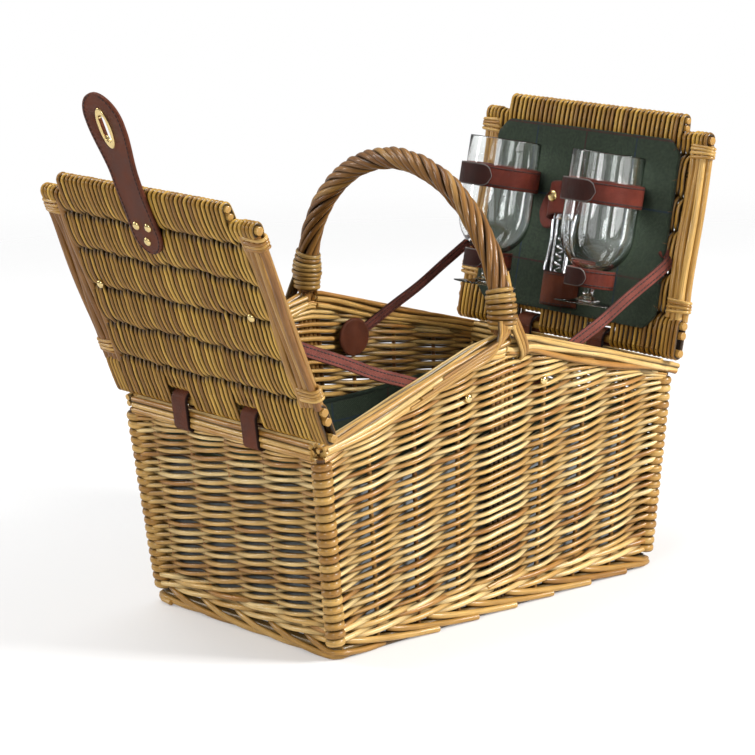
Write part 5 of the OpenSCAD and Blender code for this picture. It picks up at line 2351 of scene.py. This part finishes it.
@dataclass
class Glasses:
    """The two wine glasses and the leather cuffs that hold them."""

    shape: BasketShape
    spot: float = 67.0
    near: float = 31.0
    level: float = -48.1
    rim_r: float = 34.0
    height: float = 138.0

    def place(self, sx: int) -> Place:
        """A glass's frame: Z along it from its foot, X across the lid, Y off the board.

        Args:
            sx: Sign of the side along X, -1 or 1.

        Returns:
            The frame.
        """
        lid = self.shape.lid(Side.RIGHT)
        down = opposite(lid.z)
        return Place(tuple(lid.at((sx * self.spot, self.near, self.level))), lid.x, down, lid.y)

    def profile(self) -> list[tuple[float, float]]:
        """The glass's outline, up the outside and down the inside of the bowl.

        Returns:
            Pairs of radius and height.
        """
        outer = [
            (0.01, 0.0), (18.0, 0.25), (27.0, 0.0), (29.6, 0.2), (30.0, 0.7), (29.7, 1.2), (24.0, 2.0),
            (14.0, 3.4), (7.5, 5.4), (5.0, 8.0)
        ]
        outer += [(4.2, 11.5), (5.4, 14.6), (5.0, 17.2), (4.2, 20.5), (4.6, 24.0), (7.4, 27.0)]
        for a in np.linspace(12, 88, 14):
            outer.append((self.rim_r * math.sin(math.radians(a)), 66.0 - 37.8 * math.cos(math.radians(a))))
        outer += [
            (self.rim_r, 80.0), (self.rim_r - 0.1, 110.0), (self.rim_r - 0.3, 136.9),
            (self.rim_r - 0.5, 138.0), (self.rim_r - 0.9, 138.0)
        ]
        inner = [(self.rim_r - 1.15, 136.9), (self.rim_r - 1.15, 110.0), (self.rim_r - 1.2, 80.0)]
        for a in np.linspace(88, 6, 14):
            inner.append(
                ((self.rim_r - 1.2) * math.sin(math.radians(a)), 66.5 - 34.3 * math.cos(math.radians(a)))
            )
        return outer + inner + [(0.01, 32.1)]

    def cuff(
        self, maker: MeshMaker, sx: int, at: float, width: float, r: float, turn: tuple[float, float]
    ) -> Strip:
        """Adds a leather band round a glass, from board to board.

        Args:
            maker: Where it goes.
            sx: Which glass.
            at: Distance of its middle from the glass's foot.
            width: Its width.
            r: Radius of its middle line.
            turn: First and last angle round the glass.

        Returns:
            The strip, for its stitches.
        """
        place = self.place(sx)
        board = self.level + 11.6
        angle = np.linspace(turn[0], turn[1], 44)
        x, y = r * np.cos(angle), r * np.sin(angle)
        y = np.maximum(y, board)
        path = place.at(xyz(x, y, at))
        strip = Strip(path, place.turn((0, 0, 1)), width, 1.9)
        strip.add(maker)
        return strip

    def build(self, finishes: Finishes) -> None:
        """Makes both glasses, their cuffs and the cuffs' tabs.

        Args:
            finishes: The materials of the basket.
        """
        for sx, body, node in ((1, "glass_one", "front"), (-1, "glass_two", "back")):
            maker = MeshMaker(111)
            maker.lathe(self.place(sx), self.profile(), sides=96)
            finish_piece(
                maker.mesh(f"{node}_wine_glass"), body, finishes.glass, (f"glass_{node}",)
            )
            for kind, at, width, r in (("bowl", 102.0, 21.0, 35.6), ("stem", 24.0, 17.0, 20.8)):
                bands, threads, tabs = MeshMaker(112), MeshMaker(113), MeshMaker(114)
                low = -math.asin(
                    min(0.999, (self.level + 11.9) / -r if r > 36.4 else 0.999)
                ) if r > 36.4 else -math.pi / 2
                strip = self.cuff(
                    bands, sx, at, width, r,
                    (low + 0.05, math.pi - low - 0.05) if r > 30 else (-0.95, math.pi + 0.95)
                )
                strip.stitches(threads, 2.6, both_faces=True, size=0.7)
                self.tab(tabs, sx, at, width * 0.98, r + 2.0)
                name = f"{node}_{kind}"
                finish_piece(
                    bands.mesh(f"{name}_cuff", sharp=50), "right_lid", finishes.cuff,
                    (f"{kind}_strap_{node}",)
                )
                finish_piece(threads.mesh(f"{name}_cuff_stitches"), "right_lid", finishes.thread)
                finish_piece(tabs.mesh(f"{name}_cuff_tab", sharp=50), "right_lid", finishes.dark)

    def tab(self, maker: MeshMaker, sx: int, at: float, width: float, r: float) -> None:
        """Adds the darker round-ended tab that overlaps a cuff.

        Args:
            maker: The mesh to add to.
            sx: Sign of the side along X, -1 or 1.
            at: Height along the glass in millimetres.
            width: Width of the cuff in millimetres.
            r: Radius of the cuff in millimetres.
        """
        place = self.place(sx)
        board = self.level + 11.6
        angle = np.linspace(math.pi + 0.5, math.radians(58), 36)
        x, y = r * np.cos(angle), np.maximum(r * np.sin(angle), board + 1.5)
        path = place.at(xyz(x, y, at))
        run = run_along(path)
        left = np.clip((run[-1] - run) / (width / 2), 0, 1)
        wide = width * np.sqrt(np.clip(1 - (1 - left) ** 2, 0.0, 1))
        Strip(path, place.turn((0, 0, 1)), np.maximum(wide, 1.5), 1.7).add(maker)


@dataclass
class Corkscrew:
    """A winged corkscrew, its pocket and the tab that holds its head."""

    shape: BasketShape
    near: float = 24.0
    level: float = -22.9

    def __post_init__(self) -> None:
        """Finds the corkscrew's frame: Z along it from its lower end, Y off the board."""
        lid = self.shape.lid(Side.RIGHT)
        down = opposite(lid.z)
        self.place = Place(tuple(lid.at((0, self.near, self.level))), lid.x, down, lid.y)

    def shifted(self, x: float, y: float, z: float, turned: bool = False) -> Place:
        """A frame at a point of the corkscrew, with Z along it or, turned, off the board.

        Args:
            x: Millimetres across the lid.
            y: Millimetres off the board.
            z: Millimetres along the corkscrew.
            turned: Whether Z points off the board.

        Returns:
            The frame.
        """
        p = self.place
        if turned:
            return Place(tuple(p.at((x, y, z))), p.x, opposite(p.z), p.y)
        return Place(tuple(p.at((x, y, z))), p.x, p.y, p.z)

    def metal(self, maker: MeshMaker) -> None:
        """Adds the bell, the frame, the worm, the rack shaft, the ring head and the levers.

        Args:
            maker: The mesh to add to.
        """
        bell = [
            (7.9, 20.0), (7.9, 1.0), (8.4, 0.0), (9.3, 0.2), (9.5, 1.4), (9.0, 5.0), (8.6, 12.0),
            (8.3, 19.0), (7.0, 23.0), (4.4, 25.0), (4.0, 26.0)
        ]
        maker.lathe(self.shifted(0, 0, 0), bell, sides=40)
        for sx in (-1, 1):
            knots = [(sx * 7.2, 0, 20.0), (sx * 8.2, 0, 34.0), (sx * 8.2, 0, 60.0), (sx * 8.4, 0, 80.0)]
            maker.rod(self.place.at(curve(knots, 16)), 2.2, self.place.turn((1, 0, 0)), sides=12, flat=0.7)
        maker.lathe(
            self.shifted(0, 0, 78), [
                (3.2, 0), (8.8, 0.4), (9.4, 1.2), (9.4, 9.0), (8.6, 10.0), (3.2, 10.0)
            ], sides=40
        )
        maker.lathe(self.shifted(0, 0, 66), [(0.6, 0), (2.8, 0.6), (3.0, 1.5), (3.0, 34.0)], sides=24)
        for k in range(12):
            maker.lathe(
                self.shifted(0, 0, 88.5 + k * 1.25), [(2.9, 0), (3.4, 0.3), (3.4, 0.7), (2.9, 1.0)],
                sides=24
            )
        turns = np.linspace(0, 5.0 * 2 * math.pi, 120)
        r = 3.1 * smooth(turns, 0, 2.5)
        worm = xyz(r * np.cos(turns), r * np.sin(turns), 28 + turns / (2 * math.pi) * 7.6)
        maker.rod(
            self.place.at(worm), 0.35 + 0.95 * smooth(turns, 0, 6), self.place.turn((0, 0, 1)), sides=8
        )
        a = np.linspace(0, 2 * math.pi, 41)
        ring = xyz(9.4 * np.cos(a), 0 * a, 106.0 + 9.4 * np.sin(a))
        maker.rod(self.place.at(ring), 2.2, self.place.turn((0, 1, 0)), sides=12, caps=(False, False))
        for sx in (-1, 1):
            t = np.linspace(0, 1, 24)
            z = 30 + 56 * t
            x = sx * (13.6 - 1.6 * np.sin(math.pi * t) ** 2)
            path = self.place.at(xyz(x, 0 * t, z))
            wide = 7.6 - 2.6 * t + 2.4 * smooth(-t, -0.22, 0.0)
            Strip(path, self.place.turn((0, 1, 0)), wide, 2.2).add(maker)
            gear = self.shifted(sx * 8.4, -2.2, 84.0, turned=True)
            maker.lathe(
                gear, [(0.01, 0), (4.6, 0.0), (5.2, 0.5), (5.2, 3.9), (4.6, 4.4), (0.01, 4.4)], sides=28
            )

    def pocket(self, maker: MeshMaker, threads: MeshMaker) -> None:
        """Adds the leather pocket sewn to the board.

        Args:
            maker: The mesh to add to.
            threads: The mesh that takes the stitches.
        """
        board = self.level + 11.7
        knots = [
            (-20.5, board + 0.6), (-14.5, board + 0.6), (-12.2, -4.0), (-10.6, 4.0), (-6.0, 10.2),
            (0.0, 11.6), (6.0, 10.2), (10.6, 4.0), (12.2, -4.0), (14.5, board + 0.6), (20.5, board + 0.6)
        ]
        line = curve([(x, y, 14.0) for x, y in knots], 60)
        strip = Strip(self.place.at(line), self.place.turn((0, 0, 1)), 32.0, 1.7)
        strip.add(maker)
        strip.stitches(threads, 2.4, both_faces=True)

    def tab(self, maker: MeshMaker) -> None:
        """Adds the round-ended tab that bridges the corkscrew's head.

        Args:
            maker: The mesh to add to.
        """
        board = self.level + 11.7
        knots = [
            (-44.0, board + 0.6), (-29.0, board + 0.9), (-18.6, board + 4.0), (-16.8, 2.0), (-14.2, 9.6),
            (-8.0, 12.2), (0.0, 12.4), (8.0, 12.0), (14.2, 9.6), (16.8, 2.0), (17.0, -6.0)
        ]
        line = curve([(x, y, 99.0 - 16.0 * float(smooth(-x, 0.0, 44.0))) for x, y in knots], 60)
        path = self.place.at(line)
        run = run_along(path)
        left = np.clip(run / 16.0, 0, 1)
        wide = (40.0 - 14.0 * run / run[-1]) * np.sqrt(np.clip(1 - (1 - left) ** 2, 0.01, 1))
        Strip(path, self.place.turn((0, 0, 1)), wide, 1.8).add(maker)

    def build(self, finishes: Finishes) -> None:
        """Makes the corkscrew and its leather.

        Args:
            finishes: The materials of the basket.
        """
        maker = MeshMaker(121)
        self.metal(maker)
        nodes = ("corkscrew_frame", "corkscrew_worm", "corkscrew_levers")
        finish_piece(maker.mesh("winged_corkscrew", sharp=45), "corkscrew", finishes.steel, nodes)
        maker, threads = MeshMaker(122), MeshMaker(123)
        self.pocket(maker, threads)
        finish_piece(
            maker.mesh("corkscrew_sleeve", sharp=50), "right_lid", finishes.leather,
            ("corkscrew_pocket",)
        )
        finish_piece(threads.mesh("corkscrew_sleeve_stitches"), "right_lid", finishes.thread)
        maker = MeshMaker(124)
        self.tab(maker)
        tab = maker.mesh("corkscrew_strap_tab", sharp=50)
        board = self.level + 11.7
        span = (self.place.metres((-22, board, 99)), self.place.metres((-16.5, board + 7, 99)))
        bend_piece(tab, ("right_lid", "cork_tab"), finishes.cuff, ("corkscrew_tab",))
        maker = MeshMaker(126)
        dome(self.shifted(-8, 12.9, 99.0, turned=True), (0, 0, 0), 5.4, 2.2, maker)
        finish_piece(maker.mesh("press_stud_cap"), "cork_tab", finishes.brass, ("corkscrew_stud",))


@dataclass
class Liner:
    """The cloth liner: a floor and soft sides that stand inside the weave."""

    shape: BasketShape
    ring: Ring
    height: float = 150.0
    floor: float = 19.0
    inset: float = 7.4

    def sag(self, q: Array, phases: Array) -> Array:
        """How far the top edge rises or sags at distances round the ring."""
        return 1.6 * np.sin(q / 61 + phases[0]) + 0.9 * np.sin(q / 23 + phases[1])

    def folds(self, q: Array, z: float, phases: Array) -> Array:
        """How far out the cloth lies at distances round the ring and a height.

        Args:
            q: Distances round the ring.
            z: Height in millimetres.
            phases: Phases of the folds.

        Returns:
            Distance outwards in millimetres, at each point.
        """
        slow = 0.7 * np.sin(z / 13 + q / 47 + phases[4])
        fold = 0.9 * np.sin(q / 17 + z / 31 + phases[2]) * np.sin(q / 83 + phases[3]) + slow
        return -self.inset - 1.1 - 0.9 * fold

    def build(self, finishes: Finishes) -> None:
        """Makes the liner as one sheet.

        Args:
            finishes: The materials of the basket.
        """
        maker = MeshMaker(131)
        count = 300
        q = np.linspace(0, self.ring.total, count, endpoint=False)
        rows: list[Array] = []
        grains: list[Array] = []
        levels = np.linspace(self.height, self.floor + 4, 22)
        phases = maker.draw.uniform(0, 6.28, 6)
        for z in levels:
            lift = self.sag(q, phases) if z == levels[0] else 0
            rows.append(self.ring.at(q, z + lift * np.ones(count), self.folds(q, z, phases)))
            grains.append(xyz(q, np.full(count, z), np.zeros(count)))
        edge = self.ring.at(q, np.full(count, self.floor + 0.6), np.full(count, -self.inset - 3.0))
        for share in (1.0, 0.985, 0.94, 0.8, 0.6, 0.4, 0.2, 0.02):
            ring = edge.copy()
            ring[:, :2] *= share
            ring[:, 2] = (
                self.floor + 0.6
                + 0.3 * np.sin(ring[:, 0] / 19) * np.sin(ring[:, 1] / 23) * (share < 0.95)
            )
            rows.append(ring)
            grains.append(xyz(ring[:, 0] + 4000, ring[:, 1] + 4000, np.zeros(count)))
        points, grain = np.vstack(rows), np.vstack(grains)
        first = maker.put(points, grain, np.tile([0.5, 1.0, 0.0], (len(points), 1)))
        maker.grid(first, len(rows), count, wrap=True, flip=True)
        piece = maker.mesh("tweed_liner")
        finish_piece(piece, "basket", finishes.tweed, ("liner",))
        hem = MeshMaker(132)
        line = self.ring.at(q, levels[0] + self.sag(q, phases), self.folds(q, levels[0], phases))
        line = np.vstack([line, line[:1]])
        hem.rod(line, 1.1, (0, 0, 1), sides=8, flat=2.2, caps=(False, False), shade=0.5)
        hem.grain = [np.tile([31.0, 29.0, 0.0], (len(g), 1)) + 0.01 * g for g in hem.grain]
        finish_piece(hem.mesh("liner_hem"), "basket", finishes.tweed)


# ---------------------------------------------------------------- stage


@dataclass
class Studio:
    """The pale floor, the soft lamps and the camera."""

    azimuth: float = -0.72
    elevation: float = 0.234
    roll: float = -0.025
    distance: float = 2.5685
    target: Triple = (-0.0181, 0.0136, 0.1924)
    lens: float = 137.17
    sky: float = 0.33
    panes: list[bpy.types.Object] = field(default_factory=list)

    def camera(self) -> None:
        """Makes the camera."""
        a, e, r = self.azimuth, self.elevation, self.roll
        back = np.array([math.sin(a) * math.cos(e), -math.cos(a) * math.cos(e), math.sin(e)])
        right = np.array([math.cos(a), math.sin(a), 0.0])
        up = np.cross(back, right)
        c, s = math.cos(r), math.sin(r)
        axes = np.array([c * right + s * up, -s * right + c * up, back]).T
        data = bpy.data.cameras.new("camera")
        data.lens, data.sensor_width = self.lens, 36.0
        data.clip_start, data.clip_end = 0.1, 50.0
        camera = bpy.data.objects.new("camera", data)
        spot = np.array(self.target) + back * self.distance
        rows = [[*axes[i], spot[i]] for i in range(3)] + [[0, 0, 0, 1]]
        camera.matrix_world = Matrix(rows)
        bpy.context.scene.collection.objects.link(camera)
        bpy.context.scene.camera = camera

    def lamp(
        self, name: str, spot: Triple, size: tuple[float, float], power: float, shine_only: bool = False
    ) -> bpy.types.Object:
        """Makes a soft lamp that looks at the basket.

        Args:
            name: Its name.
            spot: Where it stands.
            size: Its width and height.
            power: Its power in watts.
            shine_only: Whether it shows only in shiny surfaces.

        Returns:
            The lamp.
        """
        data = bpy.data.lights.new(name, "AREA")
        data.shape, data.size, data.size_y, data.energy = "RECTANGLE", *size, power
        lamp = bpy.data.objects.new(name, data)
        lamp.visible_diffuse = not shine_only
        lamp.location = spot
        lamp.rotation_euler = (Vector((0, 0, 0.2)) - Vector(spot)).to_track_quat("-Z", "Y").to_euler()
        bpy.context.scene.collection.objects.link(lamp)
        return lamp

    def aim_panes(self) -> None:
        """Keeps the two window panes' light to the glasses."""
        only = bpy.data.collections.new("glassware")
        for piece in bpy.data.objects:
            if piece.name.endswith("_wine_glass"):
                only.objects.link(piece)
        for lamp in self.panes:
            lamp.light_linking.receiver_collection = only

    def build(self) -> None:
        """Makes the stage."""
        self.camera()
        mesh = bpy.data.meshes.new("floor")
        mesh.from_pydata([(-3, -3, 0), (3, -3, 0), (3, 3, 0), (-3, 3, 0)], [], [(0, 1, 2, 3)])
        floor = bpy.data.objects.new("floor", mesh)
        bpy.context.scene.collection.objects.link(floor)
        material, nodes, shader = new_material("pale_floor")
        shader.inputs["Base Color"].default_value = (0.97, 0.97, 0.97, 1)
        shader.inputs["Roughness"].default_value = 0.9
        shader.inputs["Specular IOR Level"].default_value = 0.1
        where = nodes.vector("MULTIPLY", nodes.add("TexCoord").outputs["Object"], (0.45, 0.45, 0.45))
        fade = nodes.add("TexGradient", gradient_type="SPHERICAL")
        nodes.join(where, fade.inputs[0])
        nodes.join(nodes.ramp(fade.outputs["Fac"], 0.02, 0.4, (0.0, 0.72)), shader.inputs["Alpha"])
        floor.data.materials.append(material)
        self.lamp("key", (1.5, -2.3, 1.7), (0.9, 0.9), 118)
        self.lamp("fill", (-2.3, -1.1, 1.2), (0.7, 0.7), 17)
        self.lamp("top", (-0.3, 0.9, 2.4), (1.4, 1.4), 30)
        self.lamp("rear", (-1.5, 2.1, 1.1), (0.5, 1.0), 16)
        self.lamp("window", (0.1, -2.3, 0.42), (0.42, 0.75), 9, shine_only=True)
        self.panes = [
            self.lamp("left_pane", (-1.95, -1.05, 0.75), (1.1, 1.5), 9),
            self.lamp("right_pane", (0.75, -2.05, 0.75), (0.85, 1.5), 19),
        ]
        world = bpy.data.worlds.new("studio")
        world.use_nodes = True
        world.node_tree.nodes["Background"].inputs[0].default_value = (1, 1, 1, 1)
        nodes = Nodes(world.node_tree)
        path = nodes.add("LightPath")
        seen = nodes.math("MAXIMUM", path.outputs["Is Camera Ray"], path.outputs["Is Transmission Ray"])
        strength = nodes.math("MULTIPLY_ADD", seen, 1.0 - self.sky, self.sky)
        nodes.join(strength, world.node_tree.nodes["Background"].inputs[1])
        bpy.context.scene.world = world
        bpy.context.scene.view_settings.view_transform = "Standard"


def long_top(shape: BasketShape) -> Callable[[Array], Array]:
    """The line up a long wall where its weaving stops under the rim."""
    lean = math.cos(shape.side_lean)
    return lambda x: (shape.rim_top(x) - 9.0 / math.cos(shape.slope)) / lean


def end_top(shape: BasketShape) -> Callable[[Array], Array]:
    """The same line on an end wall."""
    level = (shape.hinge_h - 7.5 - 10.0) / math.cos(shape.end_lean)
    return lambda x: np.full_like(np.asarray(x, float), level)


def main() -> None:
    """Builds the scene."""
    logging.basicConfig(level=logging.INFO, format="%(name)s: %(message)s")
    studio = Studio()
    studio.build()
    finishes = Finishes()
    ring = Ring(SHAPE)
    for face in Face:
        WovenWall(
            f"{face.word}_wall", SHAPE.long_wall(face), 8, SHAPE.post_x(0.0), SHAPE.post_x(200.0),
            long_top(SHAPE), 0.0,
            (f"wall_{face.word}_left", f"wall_{face.word}_right"), group=0.3, seed=5 + face.value,
        ).build(finishes)
    for side in Side:
        WovenWall(
            f"{side.word}_end", SHAPE.end_wall(side), 5, SHAPE.post_y(0.0), SHAPE.post_y(200.0),
            end_top(SHAPE), 0.5,
            (f"wall_{side.word}_end",), seed=15 + side.value,
        ).build(finishes)
    Foot(ring).build(finishes)
    Corners(SHAPE).build(finishes)
    Rims(SHAPE).build(finishes)
    Handle(SHAPE).build(finishes)
    WovenLid(SHAPE, Side.LEFT, seed=60).build(finishes)
    WovenLid(SHAPE, Side.RIGHT, seed=70).build(finishes)
    LeatherHinges(SHAPE).build(finishes)
    Stays(SHAPE).build(finishes)
    Closure(SHAPE).build(finishes)
    Glasses(SHAPE).build(finishes)
    Corkscrew(SHAPE).build(finishes)
    Liner(SHAPE, ring).build(finishes)
    studio.aim_panes()


if __name__ == "__main__":
    main()
